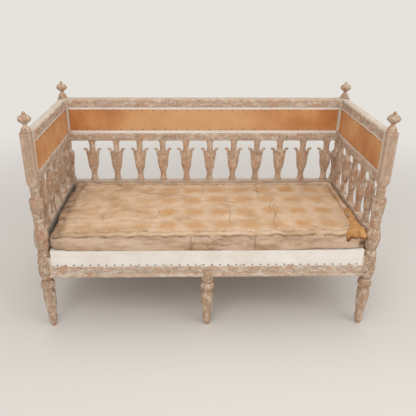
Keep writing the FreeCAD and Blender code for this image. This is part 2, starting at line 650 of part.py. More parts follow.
def build():
    """All nodes of the settee by name."""
    nodes = {}
    long_side = POST_SPACING_X
    short_side = POST_SPACING_Y

    # Seat frame
    leg = middle_leg()
    front_leg = moved(leg, y=-short_side / 2)
    back_leg = moved(leg, y=short_side / 2)
    cross = cross_rail()
    nodes["front_centre_leg"] = front_leg
    nodes["back_centre_leg"] = back_leg
    nodes["seat_cross_rail"] = cross
    front_rail = moved(seat_rail(long_side), y=-short_side / 2, turn=2 * QUARTER_TURN)
    nodes["front_seat_rail"] = front_rail.cut(front_leg).cut(cross)
    nodes["back_seat_rail"] = moved(seat_rail(long_side), y=short_side / 2).cut(back_leg).cut(cross)
    nodes["left_seat_rail"] = to_side(seat_rail(short_side), "left")
    nodes["right_seat_rail"] = to_side(seat_rail(short_side), "right")
    nodes["corner_blocks"] = corner_blocks()

    # Back and arms
    panel_tacks = []
    for side in SIDES:
        if side == "back":
            span = long_side
            margins = (CANVAS_LOWER_MARGIN, CANVAS_UPPER_MARGIN)
            places = baluster_places(span, BACK_BALUSTERS, BACK_FIRST_GAP)
        else:
            span = short_side
            margins = (SIDE_CANVAS_MARGIN, SIDE_CANVAS_MARGIN)
            places = baluster_places(span, SIDE_BALUSTERS, SIDE_FIRST_GAP)
        row, tenons = baluster_row(span, places, -1 if side == "right" else 1)
        top_name = "crest_rail" if side == "back" else side + "_arm_rail"
        nodes[top_name] = to_side(crest_rail(span), side)
        nodes[side + "_middle_rail"] = to_side(middle_rail(span).cut(tenons), side)
        nodes[side + "_lower_rail"] = to_side(lower_rail(span).cut(tenons), side)
        for index, shape in enumerate(row, start=1):
            nodes[f"{side}_baluster_{index:02d}"] = to_side(shape, side)
        lining, canvas, tacks = panel(span, *margins)
        nodes[side + "_lining"] = to_side(lining, side)
        nodes[side + "_canvas"] = to_side(canvas, side)
        panel_tacks += [to_side(shape, side) for shape in tacks]
    nodes["panel_tacks"] = Part.makeCompound(panel_tacks)

    # Corner posts, mortised for the rails and bored for the finials
    top = finial()
    rails = [shape for name, shape in nodes.items() if name.endswith("_rail")]
    for name, x_sign, y_sign in corner_posts():
        post = at_corner(post_blank(x_sign, y_sign), x_sign, y_sign)
        crown = at_corner(top, x_sign, y_sign)
        for shape in rails + [crown]:
            if post.BoundBox.intersect(shape.BoundBox):
                post = post.cut(shape)
        nodes[name + "_post"] = post
        nodes[name + "_finial"] = crown

    # Seat and cushion
    nodes["webbing_lengthwise"], nodes["webbing_crosswise"] = webbing()
    nodes["seat_pad"], nodes["seat_cover"] = seat_pad_and_cover()
    nodes["seat_tacks"] = seat_tacks()
    nodes["cushion"] = cushion()
    return nodes


os.makedirs("parts", exist_ok=True)
for node, shape in build().items():
    shape.exportStep("parts/" + node + ".step")
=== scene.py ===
import math

import bmesh
import bpy
from mathutils import Matrix, Vector, noise
from mathutils.bvhtree import BVHTree


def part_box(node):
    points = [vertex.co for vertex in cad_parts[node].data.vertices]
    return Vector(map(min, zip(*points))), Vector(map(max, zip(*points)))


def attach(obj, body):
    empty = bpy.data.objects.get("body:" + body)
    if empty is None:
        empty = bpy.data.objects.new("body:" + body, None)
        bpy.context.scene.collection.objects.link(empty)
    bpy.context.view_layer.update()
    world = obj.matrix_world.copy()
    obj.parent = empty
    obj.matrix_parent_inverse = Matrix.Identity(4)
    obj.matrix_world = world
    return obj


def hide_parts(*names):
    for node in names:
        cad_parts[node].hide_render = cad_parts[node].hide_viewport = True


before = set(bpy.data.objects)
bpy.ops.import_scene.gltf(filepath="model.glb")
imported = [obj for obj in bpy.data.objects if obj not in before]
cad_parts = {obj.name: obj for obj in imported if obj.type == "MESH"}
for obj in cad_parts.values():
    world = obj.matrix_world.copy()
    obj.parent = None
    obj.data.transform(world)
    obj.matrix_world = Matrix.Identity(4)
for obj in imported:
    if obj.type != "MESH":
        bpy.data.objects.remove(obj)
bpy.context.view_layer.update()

# Settee: turned and carved posts, tulip balusters, tacked panels, calico seat and a loose squab.
# Sizes below are millimetres, as on the bench; MM turns them into metres.
MM = 0.001

# Post axes
POST_X = 705.0
POST_Y = 307.0

# Turned lengths: height, radius, and the profile as (share of height, share of radius)
TOE = (18.0, 14.0, [(0.0, 0.88), (1.0, 1.0)])
FOOT = (40.0, 20.0, [(0.0, 0.80), (0.45, 1.0), (0.85, 0.95), (1.0, 0.85)])
SHANK = (130.0, 27.5, [(0.0, 0.64), (0.25, 0.80), (0.55, 0.96), (0.85, 1.0), (1.0, 0.93)])
COVE = (12.0, 21.0, [(0.0, 1.0), (0.5, 0.94), (1.0, 1.0)])
COLLAR = (45.0, 30.5, [(0.0, 0.80), (0.42, 1.0), (0.78, 0.92), (1.0, 0.66)])
BULB = (152.0, 32.0, [(0.0, 0.61), (0.10, 0.82), (0.28, 1.0), (0.55, 0.97), (0.80, 0.86), (1.0, 0.72)])
VASE = (103.0, 31.5, [(0.0, 0.75), (0.2, 0.90), (0.55, 1.0), (0.85, 0.82), (1.0, 0.69)])
THROAT = (28.0, 21.7, [(0.0, 1.0), (0.5, 0.95), (1.0, 1.0)])
RING = (17.0, 23.5, [(0.0, 0.92), (0.5, 1.0), (1.0, 0.87)])
TULIP = (87.0, 28.0, [(0.0, 0.73), (0.3, 0.86), (0.65, 0.98), (0.9, 1.0), (1.0, 0.97)])
NECK = (30.0, 18.0, [(0.0, 1.05), (0.5, 0.95), (1.0, 1.0)])
BEAD = (22.0, 20.0, [(0.0, 0.88), (0.5, 1.0), (1.0, 0.86)])
SHOULDER = (38.0, 31.1, [(0.0, 0.55), (0.4, 0.80), (1.0, 1.0)])
BLOCK = (189.0, 31.1, [(0.0, 1.0), (1.0, 1.0)])
MIDDLE_SHANK = (116.0,) + SHANK[1:]
MIDDLE_COLLAR = (42.0,) + COLLAR[1:]
KNEE = (68.0, 29.0, [(0.0, 0.69), (0.25, 0.92), (0.55, 1.0), (1.0, 0.97)])
CAP = (34.0, 21.0, [(0.0, 0.90), (0.08, 1.0), (0.16, 0.94), (0.20, 0.84), (0.34, 0.86), (0.52, 0.72), (0.68, 0.47),
                    (0.84, 0.38), (1.0, 0.43)])
BUD = (36.0, 25.5, [(0.0, 0.40), (0.25, 0.82), (0.50, 1.0), (0.76, 0.78), (1.0, 0.32)])
BUTTON = (10.0, 7.0, [(0.0, 0.75), (0.4, 1.0), (0.8, 0.80), (1.0, 0.40)])

# Each turned piece from the bottom up, with the carving on each length
POST = [
    (TOE, "plain"), (FOOT, "foot"), (SHANK, "shank"), (COVE, "plain"), (COLLAR, "collar"), (BULB, "bulb"),
    (VASE, "vase"), (THROAT, "plain"), (RING, "ring"), (TULIP, "tulip"), (NECK, "plain"), (BEAD, "ring"),
    (SHOULDER, "block"), (BLOCK, "block"),
]
FINIAL = [(CAP, "plain"), (BUD, "bud"), (BUTTON, "plain")]
MIDDLE_LEG = [
    (TOE, "plain"), (FOOT, "foot"), (MIDDLE_SHANK, "shank"), (COVE, "plain"), (MIDDLE_COLLAR, "collar"),
    (KNEE, "knee"),
]
BLOCK_HALF = 22.0
BLOCK_CHAMFER = 3.5
FLUTE_WIDTH = 10.0
FLUTE_DEPTH = 3.2
FLUTE_SPACING = 15.0
FLUTE_STOP = 9.0
FLUTE_DIRT = 0.45
LIMED_RISE = 30.0  # how far up a block its white ground comes in
TURNING_STEPS = 96
FINIAL_STEPS = 64
TURNING_ROW = 2.4
HOLLOW_DEPTH = 3.6  # a cut this deep is as dirty as the carving gets
COVE_LIMIT = 22.0  # narrower than this, a turned length keeps dirt
COVE_DIRT = 0.25

# Balusters
BALUSTER_BOTTOM = 473.0
BALUSTER_RADIUS = 29.0
BALUSTER_HALF_DEPTH = 15.0
BALUSTER = [
    ((11.0, BALUSTER_RADIUS, [(0.0, 0.66), (0.5, 0.67), (1.0, 0.64)]), "plain"),
    ((30.8, BALUSTER_RADIUS, [(0.0, 0.60), (0.5, 0.50), (1.0, 0.48)]), "plain"),
    ((11.0, BALUSTER_RADIUS, [(0.0, 0.54), (0.5, 0.58), (1.0, 0.52)]), "plain"),
    ((103.4, BALUSTER_RADIUS,
      [(0.0, 0.50), (0.106, 0.70), (0.277, 0.85), (0.553, 0.95), (0.851, 1.0), (1.0, 0.97)]), "cup"),
    ((53.9, BALUSTER_RADIUS, [(0.0, 0.62), (0.245, 0.52), (0.694, 0.50), (1.0, 0.54)]), "plain"),
    ((9.9, BALUSTER_RADIUS, [(0.0, 0.62), (0.5, 0.64), (1.0, 0.62)]), "plain"),
]
BALUSTER_STEPS = 56
BALUSTER_LEAN = 0.7  # degrees
TWO_EARS_WIDTH = 90.0  # a narrower node has lost an ear to the post beside it
EAR_PATH = [(18.0, 126.0), (30.0, 150.0), (25.0, 177.0), (40.5, 172.3)]
EAR_ROOT_RADIUS = 9.0
EAR_END_RADIUS = 5.0
EAR_TIP_RADIUS = 6.4
EAR_STEPS = 12
EAR_SIDES = 14

# Rails: half depths and levels
RAIL_SHOULDER = 19.0
CREST_HALF = 17.0
CREST_BOTTOM = 848.0
CREST_FACE_BOTTOM = 868.0
CREST_TOP = 910.0
CREST_CHAMFER = 5.0
MIDDLE_HALF = 14.0
MIDDLE_BOTTOM = 693.0
MIDDLE_FACE_TOP = 731.0
MIDDLE_TOP = 751.0
LOWER_HALF = 15.0
LOWER_BOTTOM = 403.0
LOWER_TOP = 473.0
SEAT_RAIL_HALF = 18.0
SEAT_RAIL_BOTTOM = 265.0
SEAT_RAIL_TOP = 365.0
SEAT_LIP_TOP = 277.0
SEAT_LIP = 3.0
EDGE_WEAR = 1.6
RAIL_WAVER = 0.6
LONG_CUTS = 120
SHORT_CUTS = 56
BAND_STEP = 2.6
BAND_LIFT = 0.3
FRONT_BAND_STOP = 30.0

# Panels: how far the cloths stand off the rebate and stop short of its edges
PANEL_SET = 12.0
PANEL_STOP = 2.0
LINING_OUT = 0.2
CANVAS_OUT = 2.2
CANVAS_LOWER = 16.0
CANVAS_UPPER = 11.0
CANVAS_SIDE = 7.0
CANVAS_END = 2.0
CLOTH_THICKNESS = 1.2
CLOTH_STEP = 5.0
CLOTH_ROWS = 24
BACK_TACKS = 24
SIDE_TACKS = 10

# Seat cover, pad and webbing
COVER_X = 725.5
COVER_Y = 327.5
COVER_TOP = 398.0
COVER_BOTTOM = 319.0
COVER_DROP = COVER_TOP - COVER_BOTTOM
COVER_STEP = 6.0
COVER_NOTCH = 33.5
HEM_PITCH = 35.0
TUCK = 22.0
PAD_NOTCH = 34.0
PAD_SLACK = 12.0
PAD_LUMP = 2.5
PAD_CUTS = (60, 26)
WEB_WIDTH = 60.0
WEB_THICKNESS = 2.0
WEB_COLUMNS = 11
WEB_ROWS = 4
WEB_END = 24.0  # how far a strap reaches over the rail
WEB_SWAY = 1.15
WEB_LIFT = 2.5
WEB_STEP = 9.0

# Squab
CUSHION_LEFT = -672.5
CUSHION_RIGHT = 687.0
CUSHION_FRONT = -325.5
CUSHION_BACK = 284.0
CUSHION_BOTTOM = 398.3
CUSHION_EDGE = 71.0
CUSHION_CROWN = 7.0
CUSHION_SEAM = 40.0
CUSHION_CORNER = 24.0
BLANK_SHRINK = 7.0
BLANK_SINK = 4.0
BLANK_ROUND = 7.0
BLANK_VOXEL = 9.0
SWELL_LIMIT = 16.0
SWELL_FRAMES = 20
SWELL_PRESSURE = 4.0
SWELL_MASS = 0.4
POST_ROOM = 33.0
RIM_SHARE = 0.09
LEFT_SEAM = 0.5
LEFT_FULL = 0.75
LEFT_BOW = 10.0
FRONT_LAP = 8.0
FRONT_DROOP = 12.0
LEFT_SAG = 15.0
FRONT_TILT = 5.5
EDGE_HEAVE = 9.0  # how far the rolled edge rises and falls along its length
PATCH_LEFT = -75.0
PATCH_RIGHT = 200.0
TORN_LEFT = 632.0
TORN_SIDE = 240.0
TORN_FRONT = 74.0
TORN_LIFT = 2.6
TORN_ABOVE = 40.0
TORN_BESIDE = 12.0
TORN_SEGMENTS = (64, 26)
STITCH_PITCH = 41.0
THREAD_RADIUS = 0.65
THREAD_STEPS = 6
THREADS = [
    [(-7, 236), (-5, 160), (-8, 88)], [(270, 221), (264, 127), (262, 42)], [(93, 26), (155, -15)],
    [(102, -100), (98, -217)], [(314, 11), (301, -95)], [(329, -17), (311, -139), (293, -267)],
    [(458, -234), (478, -268)], [(574, -258), (621, -244)], [(46, -286), (60, -290)], [(334, -290), (348, -284)],
    [(-447, 152), (-438, 129)], [(-383, 44), (-381, 4)], [(-471, -116), (-460, -191)], [(-209, -81), (-239, -170)],
    [(-316, 122), (-205, 106)], [(-125, 211), (-101, 195)], [(-320, -99), (-300, -105)], [(-481, -273), (-466, -279)],
    [(-421, -263), (-424, -290)], [(-296, -286), (-255, -275)],
]

# Camera and light
CAMERA_PLACE = (-0.0954, -2.1177, 1.4308)
CAMERA_PITCH = 24.94
CAMERA_YAW = 1.17
CAMERA_ROLL = 0.29
CAMERA_LENS = 41.84
CAMERA_SHIFT = 0.0322
CAMERA_SENSOR = 36.0
BACKDROP = "#E6E2DC"
ROOM_LIGHT = "#F4F2F0"
ROOM_STRENGTH = 0.66
FLOOR_SIZE = 30.0
FLOOR_NEAR = 1.2
FLOOR_FAR = 3.6
LAMPS = {"key": ((-0.7, -2.8, 3.2), 2.6, 53.0), "fill": ((2.2, -2.1, 2.6), 2.6, 32.0),
         "top": ((0.0, 0.4, 3.6), 3.0, 26.0)}  # place, size, power
LAMP_AIM = Vector((0, 0, 0.45))


# Shapes

def blend_in(value, low, high):
    """Smooth step from 0 at low to 1 at high."""
    share = min(max((value - low) / (high - low), 0.0), 1.0)
    return share * share * (3 - 2 * share)


def peak(value, width):
    """1 where a value is 0, falling away to both sides over a width."""
    return math.exp(-(value / width) ** 2)


def uneven(place, often=1.0):
    """Smooth noise between -1 and 1; the higher often is, the closer its swings."""
    return noise.noise(Vector(place) * often)


def chisel(place, depth):
    """Uneven hand-cut surface, in millimetres."""
    return depth * uneven(place, 0.045) + 0.45 * depth * uneven(place, 0.16)


def profile_share(shares, up):
    """Smooth curve through a profile's points, read at a share of its height."""
    last = len(shares) - 1
    index = 0
    while index < last - 1 and shares[index + 1][0] < up:
        index += 1

    def slope(at):
        low = shares[max(at - 1, 0)]
        high = shares[min(at + 1, last)]
        return (high[1] - low[1]) / (high[0] - low[0])

    (start, first), (end, second) = shares[index], shares[index + 1]
    run = end - start
    t = (up - start) / run
    bend = (2 * t ** 3 - 3 * t * t + 1) * first + (3 * t * t - 2 * t ** 3) * second
    return bend + run * ((t ** 3 - 2 * t * t + t) * slope(index) + (t ** 3 - t * t) * slope(index + 1))


def leaves(angle, up, count, depth, shift=0.0):
    """Carved leaves that stand side by side and narrow to tips at the top; the ground is cut back."""
    across = abs((angle * count / math.tau + shift) % 1.0 - 0.5)
    lobes = 0.86 + 0.14 * abs(math.sin(up * 4.5 * math.pi))
    edge = 0.5 * lobes * math.sqrt(max(1.0 - up ** 2.4, 0.0))
    raised = blend_in(edge - across, 0.0, 0.12)
    vein = peak(across, 0.05)
    side_veins = 0.25 * math.sin((up * 9 + across * 5) * math.pi) * (1 - vein)
    return depth * (raised * (0.75 + 0.35 * up + side_veins * 0.5 - 0.55 * vein) - 0.75)


def flutes(angle, up, count, depth):
    """Hollow flutes that stop short of both ends."""
    hollow = (0.5 + 0.5 * math.cos(angle * count)) ** 1.3
    return -depth * hollow * blend_in(up, 0.03, 0.14) * blend_in(1 - up, 0.03, 0.14)


def beads(angle, count, depth):
    """Row of beads round a ring."""
    return -depth * (1 - abs(math.sin(angle * count / 2)) ** 0.6)


def rings(up, count, depth):
    """Turned rings stacked up a foot."""
    return -depth * (1 - abs(math.sin(up * count * math.pi)) ** 0.7)


def flowers(angle, up, count, rows, depth):
    """Staggered carved flowers of five petals round an eye, with the ground cut back between them."""
    row = math.floor(up * rows)
    across = (angle * count / math.tau + 0.5 * (row % 2)) % 1.0 - 0.5
    rise = (up * rows) % 1.0 - 0.5
    reach = 2 * math.hypot(across, rise)
    petals = 0.72 + 0.26 * math.cos(5 * math.atan2(rise, across))
    raised = blend_in(petals - reach, -0.02, 0.22)
    cupped = 0.45 * peak(reach - 0.30, 0.13)
    return depth * (raised * (1.0 - cupped) - 0.8)


def two_rows(angle, up, count, depth):
    """Lower leaves with a second row rising behind their tips."""
    if up < 0.52:
        return leaves(angle, up / 0.52, count, depth)
    return leaves(angle, (up - 0.45) / 0.55, count, depth, shift=0.5)


# How far each carving stands out of the turned surface, by angle and share up its length
CARVING = {
    "plain": lambda angle, up: 0.0,
    "block": lambda angle, up: 0.0,
    "foot": lambda angle, up: rings(up, 3, 2.2),
    "shank": lambda angle, up: flutes(angle, up, 9, 1.5),
    "collar": lambda angle, up: leaves(angle, 1 - up, 8, 3.6),
    "bulb": lambda angle, up: flowers(angle, up, 5, 4, 3.6),
    "vase": lambda angle, up: two_rows(angle, up, 7, 3.4),
    "ring": lambda angle, up: beads(angle, 16, 1.6),
    "tulip": lambda angle, up: leaves(angle, 1 - up, 8, 2.6),
    "knee": lambda angle, up: flowers(angle, up, 5, 2, 3.0),
    "bud": lambda angle, up: two_rows(angle, up, 6, 3.2),
    "cup": lambda angle, up: leaves(angle, up, 8, 2.8) + flutes(angle, up, 16, 0.8),
}


def turned_rows(lengths):
    """(level, radius, carving, share up its length) of each row, from the bottom up."""
    rows = []
    level = 0.0
    for (height, radius, shares), carving in lengths:
        count = max(2, round(height / TURNING_ROW))
        for index in range(count + 1):
            up = index / count
            rows.append((level + up * height, radius * profile_share(shares, up), carving, up))
        level += height
    return rows


def turned(lengths, steps, seed, shape=None):
    """Closed turned and carved mesh on the Z axis, in millimetres."""
    rows = turned_rows(lengths)
    bm = bmesh.new()
    row_of = bm.verts.layers.int.new("row")
    hollow, smooth, limed = (bm.verts.layers.float.new(name) for name in ("hollow", "smooth", "limed"))
    outline = [bm.verts.new((0, 0, rows[0][0]))]
    for number, (level, radius, carving, up) in enumerate(rows):
        outline.append(bm.verts.new((radius, 0, level)))
        outline[-1][row_of] = number
    outline.append(bm.verts.new((0, 0, rows[-1][0])))
    edges = [bm.edges.new(pair) for pair in zip(outline, outline[1:])]
    bmesh.ops.spin(bm, geom=outline + edges, cent=(0, 0, 0), axis=(0, 0, 1), angle=math.tau, steps=steps,
                   use_merge=True)
    for vert in bm.verts:
        radius = math.hypot(vert.co.x, vert.co.y)
        if radius < 0.1:
            continue
        angle = math.atan2(vert.co.y, vert.co.x)
        level, own, carving, up = rows[vert[row_of]]
        cut = CARVING[carving](angle, up)
        vert[smooth] = 1.0 if carving == "block" else 0.0
        vert[hollow] = min(max(-cut / HOLLOW_DEPTH, COVE_DIRT if own < COVE_LIMIT else 0.0), 1.0)
        wanted = radius + cut
        if shape:
            wanted, fluted, vert[limed] = shape(angle, level, wanted)
            vert[hollow] = max(vert[hollow], fluted)
        wanted += chisel(vert.co + Vector((seed, seed, seed)), 0.5)
        vert.co.x *= wanted / radius
        vert.co.y *= wanted / radius
    bmesh.ops.remove_doubles(bm, verts=bm.verts, dist=0.01)
    bmesh.ops.recalc_face_normals(bm, faces=bm.faces)
    return bm


def new_points(made):
    """Points among what an extrusion made."""
    return [v for v in made["geom"] if isinstance(v, bmesh.types.BMVert)]


def thicken(bm, shift=(0, 0, 0)):
    """Close a sheet with a copy of its faces moved by shift; gives the copy's points."""
    copies = new_points(bmesh.ops.extrude_face_region(bm, geom=list(bm.faces)))
    bmesh.ops.translate(bm, vec=shift, verts=copies)
    return copies


def edges_along(bm, axis, least):
    """Edges that run further than least along an axis."""
    return [e for e in bm.edges if abs(e.verts[0].co[axis] - e.verts[1].co[axis]) > least]


def fillet_bar(outline, half, cuts):
    """Bar along X from a section of (y, z) points, with worn edges."""
    bm = bmesh.new()
    bm.faces.new([bm.verts.new((-half, y, z)) for y, z in outline])
    thicken(bm, (2 * half, 0, 0))
    bmesh.ops.bevel(bm, geom=edges_along(bm, 0, half), offset=EDGE_WEAR, affect="EDGES", segments=2, profile=0.5,
                    material=-1)
    bmesh.ops.subdivide_edges(bm, edges=edges_along(bm, 0, half), cuts=cuts, use_grid_fill=True)
    bmesh.ops.recalc_face_normals(bm, faces=bm.faces)
    return bm


def roughen(bm, depth, seed):
    """Push every point a little along its normal, so no face stays machine flat."""
    bm.normal_update()
    shifts = [(v, v.normal * chisel(v.co + Vector((seed, 0, 0)), depth)) for v in bm.verts]
    for vert, shift in shifts:
        vert.co += shift


def relief_band(length, low, high, face, pattern, grime):
    """Carved strip on the XZ plane, facing -Y; pattern gives the height above the face."""
    bm = bmesh.new()
    across = max(6, round((high - low) / BAND_STEP))
    bmesh.ops.create_grid(bm, x_segments=round(length / BAND_STEP), y_segments=across, size=0.5)
    for vert in bm.verts:
        vert.co = (vert.co.x * length, face, low + (vert.co.y + 0.5) * (high - low))
    hollow = bm.verts.layers.float.new("hollow")
    for vert in thicken(bm):
        along, up = vert.co.x, (vert.co.z - low) / (high - low)
        raised = pattern(along, up) * (0.75 + 0.5 * uneven((along * 0.02, up * 1.5, face)))
        stretch = blend_in(uneven((along * 0.009, face, 3.0)), -0.2, 0.2)
        inside = blend_in(min(up - 0.08, 0.86 - up), 0.0, 0.14)
        vert[hollow] = grime * (0.3 + 0.7 * stretch) * inside * min(max(1.15 - raised / 1.6, 0.0), 1.0)
        vert.co.y -= BAND_LIFT + blend_in(min(up, 1 - up), 0.0, 0.08) * (raised + chisel(vert.co, 0.35))
    bmesh.ops.recalc_face_normals(bm, faces=bm.faces)
    return bm


def coin_pattern(along, up):
    """Overlapping carved rounds between two plain fillets."""
    pitch = 21.0
    if up < 0.12 or up > 0.88:
        return 1.6
    reach = math.hypot(((along / pitch) % 1.0 - 0.5) * pitch, (up - 0.5) * 34.0)
    return 0.2 + 2.0 * max(peak(reach - 8.0, 1.8), peak(reach, 3.2))


def tongue_pattern(along, up):
    """Row of short upright tongues under a plain fillet."""
    pitch = 13.0
    if up > 0.82:
        return 1.8
    near = abs((along / pitch) % 1.0 - 0.5)
    edge = 0.34 * math.sqrt(max(1 - abs(0.86 - up) ** 3, 0.0)) if up > 0.12 else 0.34 * up / 0.12
    return 0.2 + blend_in(edge - near, 0.0, 0.14) * (1.7 - 1.0 * peak(near, 0.08))


# Turning shapes into pieces

SIDE_TURN = {"back": (0.0, (0.0, POST_Y)), "left": (90.0, (-POST_X, 0.0)), "right": (-90.0, (POST_X, 0.0)),
             "front": (180.0, (0.0, -POST_Y))}


def to_side(bm, side):
    """Turn a shape made on the X axis, inner face towards -Y, to one side of the settee."""
    turn, (x, y) = SIDE_TURN[side]
    bmesh.ops.transform(bm, matrix=Matrix.Translation((x, y, 0)) @ Matrix.Rotation(math.radians(turn), 4, "Z"),
                        verts=bm.verts)


def piece(name, bm, material, nodes=(), body="frame", sharp=50.0):
    """Object at the origin whose mesh, in millimetres, becomes a piece of the settee."""
    bmesh.ops.scale(bm, vec=(MM, MM, MM), verts=bm.verts)
    for edge in bm.edges:
        edge.smooth = len(edge.link_faces) == 2 and edge.calc_face_angle(0.0) < math.radians(sharp)
    for face in bm.faces:
        face.smooth = True
    mesh = bpy.data.meshes.new(name)
    bm.to_mesh(mesh)
    bm.free()
    mesh.materials.append(material)
    obj = bpy.data.objects.new(name, mesh)
    bpy.context.scene.collection.objects.link(obj)
    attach(obj, body)
    if nodes:
        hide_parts(*nodes)
    return obj


# Materials

def linear(code):
    """Linear colour from an sRGB hex value."""
    shares = [int(code[index:index + 2], 16) / 255 for index in (1, 3, 5)]
    return tuple(s / 12.92 if s <= 0.04045 else ((s + 0.055) / 1.055) ** 2.4 for s in shares) + (1.0,)


def add(tree, kind, links=None, **settings):
    """Add a node with its settings; links maps an input to a value or to another node's output."""
    made = tree.nodes.new(kind)
    for name, value in settings.items():
        setattr(made, name, value)
    for key, value in (links or {}).items():
        if isinstance(value, bpy.types.NodeSocket):
            tree.links.new(value, made.inputs[key])
        else:
            made.inputs[key].default_value = value
    return made


def ramp(made, stops):
    """Fill a colour ramp with (place, hex or grey) stops."""
    elements = made.color_ramp.elements
    while len(elements) < len(stops):
        elements.new(0.5)
    for element, (place, colour) in zip(elements, stops):
        element.position = place
        element.color = linear(colour) if isinstance(colour, str) else (colour, colour, colour, 1.0)
    return made.outputs[0]


def per_mm(size):
    """Texture scale that gives features of a size in millimetres on metre coordinates."""
    return 1.0 / (size * MM)


def surface(name, values):
    """New material with values on its shader; gives the material, its tree and Object coordinates."""
    material = bpy.data.materials.new(name)
    material.use_nodes = True
    tree = material.node_tree
    for key, value in values.items():
        tree.nodes["Principled BSDF"].inputs[key].default_value = value
    return material, tree, add(tree, "ShaderNodeTexCoord").outputs["Object"]


def mottled(tree, place, size, stops, detail, roughness=0.5):
    """Patches of a size in millimetres: their noise, and that noise read through a ramp's stops."""
    patches = add(tree, "ShaderNodeTexNoise", {"Vector": place, "Scale": per_mm(size), "Detail": detail,
                                               "Roughness": roughness}).outputs[0]
    return patches, ramp(add(tree, "ShaderNodeValToRGB", {"Fac": patches}), stops)


def coats(tree, ground, *layers):
    """Ground colour with layers of (amount, colour, blend) laid over it, one after the other."""
    for amount, colour, *blend in layers:
        under, over = (linear(c) if isinstance(c, str) else c for c in (ground, colour))
        ground = add(tree, "ShaderNodeMix", {"Factor": amount, "A": under, "B": over}, data_type="RGBA",
                     blend_type=blend[0] if blend else "MIX").outputs["Result"]
    return ground


def coated(material, colour, height=None, strength=0.0, depth=0.0):
    """Give a material its colour and, from a height, relief of a depth in millimetres."""
    tree = material.node_tree
    shader = tree.nodes["Principled BSDF"]
    tree.links.new(colour, shader.inputs["Base Color"])
    if height is not None:
        bump = add(tree, "ShaderNodeBump", {"Strength": strength, "Distance": depth * MM, "Height": height})
        tree.links.new(bump.outputs[0], shader.inputs["Normal"])
    return material


def scraped_paint_wood(name, stretch, tint, rubbed, flecked):
    """Softwood scraped back to bare wood by hand: tan grain, chalky paint left in patches, flecks of red-brown primer,
    dirt in the carving; square blocks and top edges are rubbed even, and white ground is left where limed. The more it
    is flecked, the more paint and primer it keeps. Matt and dry."""
    material, tree, place = surface(name, {"Roughness": 0.82})
    along = add(tree, "ShaderNodeMapping", {"Vector": place, "Scale": stretch}).outputs[0]
    smear = tuple(share ** 0.4 for share in stretch)
    smeared = add(tree, "ShaderNodeMapping", {"Vector": place, "Scale": smear}).outputs[0]
    bare = mottled(tree, along, 8.0, [(0.28, "#9C816B"), (0.44, "#B7987E"), (0.57, "#C5A98F"), (0.74, "#AB8E76")],
                   4.0, 0.55)[1]
    tone = mottled(tree, place, 55.0, [(0.36, "#C2937A"), (0.5, "#C6B3A0"), (0.64, "#A59A8B")], 3.0)[1]
    patches, chalk = mottled(tree, smeared, 22.0, [(0.49, 0.0), (0.61 - 0.03 * flecked, 0.75 + 0.1 * flecked)],
                             5.0, 0.62)
    flecks = add(tree, "ShaderNodeTexNoise",
                 {"Vector": smeared, "Scale": per_mm(19.0), "Detail": 4.0, "Roughness": 0.66, "W": 3.0},
                 noise_dimensions="4D").outputs[0]
    primer = ramp(add(tree, "ShaderNodeValToRGB", {"Fac": flecks}), [(0.58 - 0.05 * flecked, 0.0), (0.66, 0.75)])
    crumbs, chips = mottled(tree, place, 8.0, [(0.33, 0.5), (0.43, 0.0)], 3.0, 0.6)
    residue = ramp(add(tree, "ShaderNodeValToRGB", {"Fac": crumbs}),
                   [(0.38, "#7D6350"), (0.50, "#A2866D"), (0.61, "#DACDBD")])
    smooth, limed, hollow = (add(tree, "ShaderNodeAttribute", attribute_name=layer).outputs["Fac"]
                             for layer in ("smooth", "limed", "hollow"))
    even = add(tree, "ShaderNodeMath", {0: smooth, 1: 0.55}, operation="MULTIPLY").outputs[0]
    dirt = ramp(add(tree, "ShaderNodeValToRGB", {"Fac": hollow}), [(0.22, 0.0), (0.85, 0.64)])
    colour = coats(tree, bare, (0.45, tone), (chalk, "#D9CCBC"), (primer, "#A8765A"), (chips, "#857060"),
                   (even, rubbed), (limed, "#DAD4CA"), (dirt, residue), (1.0, tint, "MULTIPLY"))
    scrape = add(tree, "ShaderNodeTexNoise", {"Vector": along, "Scale": per_mm(3.0), "Detail": 4.0, "Roughness": 0.7})
    height = add(tree, "ShaderNodeMath", {0: scrape.outputs[0], 1: patches}, operation="ADD").outputs[0]
    return coated(material, colour, height, 0.4, 0.7)


WAVES_PER_UNIT = 20 / math.tau  # bands of the wave texture at a scale of 1


def woven(tree, place, thread, along="X", across="Z"):
    """Height of a plain weave with a thread spacing in millimetres, from two crossed waves."""
    warp, weft = (add(tree, "ShaderNodeTexWave", {
        "Vector": place, "Scale": per_mm(thread) / WAVES_PER_UNIT, "Distortion": 0.6, "Detail": 1.0,
        "Detail Scale": 2.0}, bands_direction=way).outputs[0] for way in (along, across))
    return add(tree, "ShaderNodeMath", {0: warp, 1: weft}, operation="MULTIPLY").outputs[0]


def cotton_calico():
    """Plain unbleached cotton, finely woven: matt, off white, with faint handling marks and level pulls.
    The thread is drawn at 1.8 mm, coarser than the real one, so that it shows."""
    material, tree, place = surface("unbleached_calico", {"Roughness": 0.9, "Sheen Weight": 0.15})
    marks = mottled(tree, place, 90.0, [(0.30, "#E4DBD0"), (0.50, "#EAE3DA"), (0.70, "#EEE9E2")], 5.0, 0.6)[1]
    level = add(tree, "ShaderNodeMapping", {"Vector": place, "Scale": (0.06, 1.0, 1.0)}).outputs[0]
    pulls = mottled(tree, level, 16.0, [(0.35, "#EDE4DA"), (0.65, "#FFFFFF")], 3.0)[1]
    return coated(material, coats(tree, marks, (0.3, pulls, "MULTIPLY")), woven(tree, place, 1.8), 0.35, 0.2)


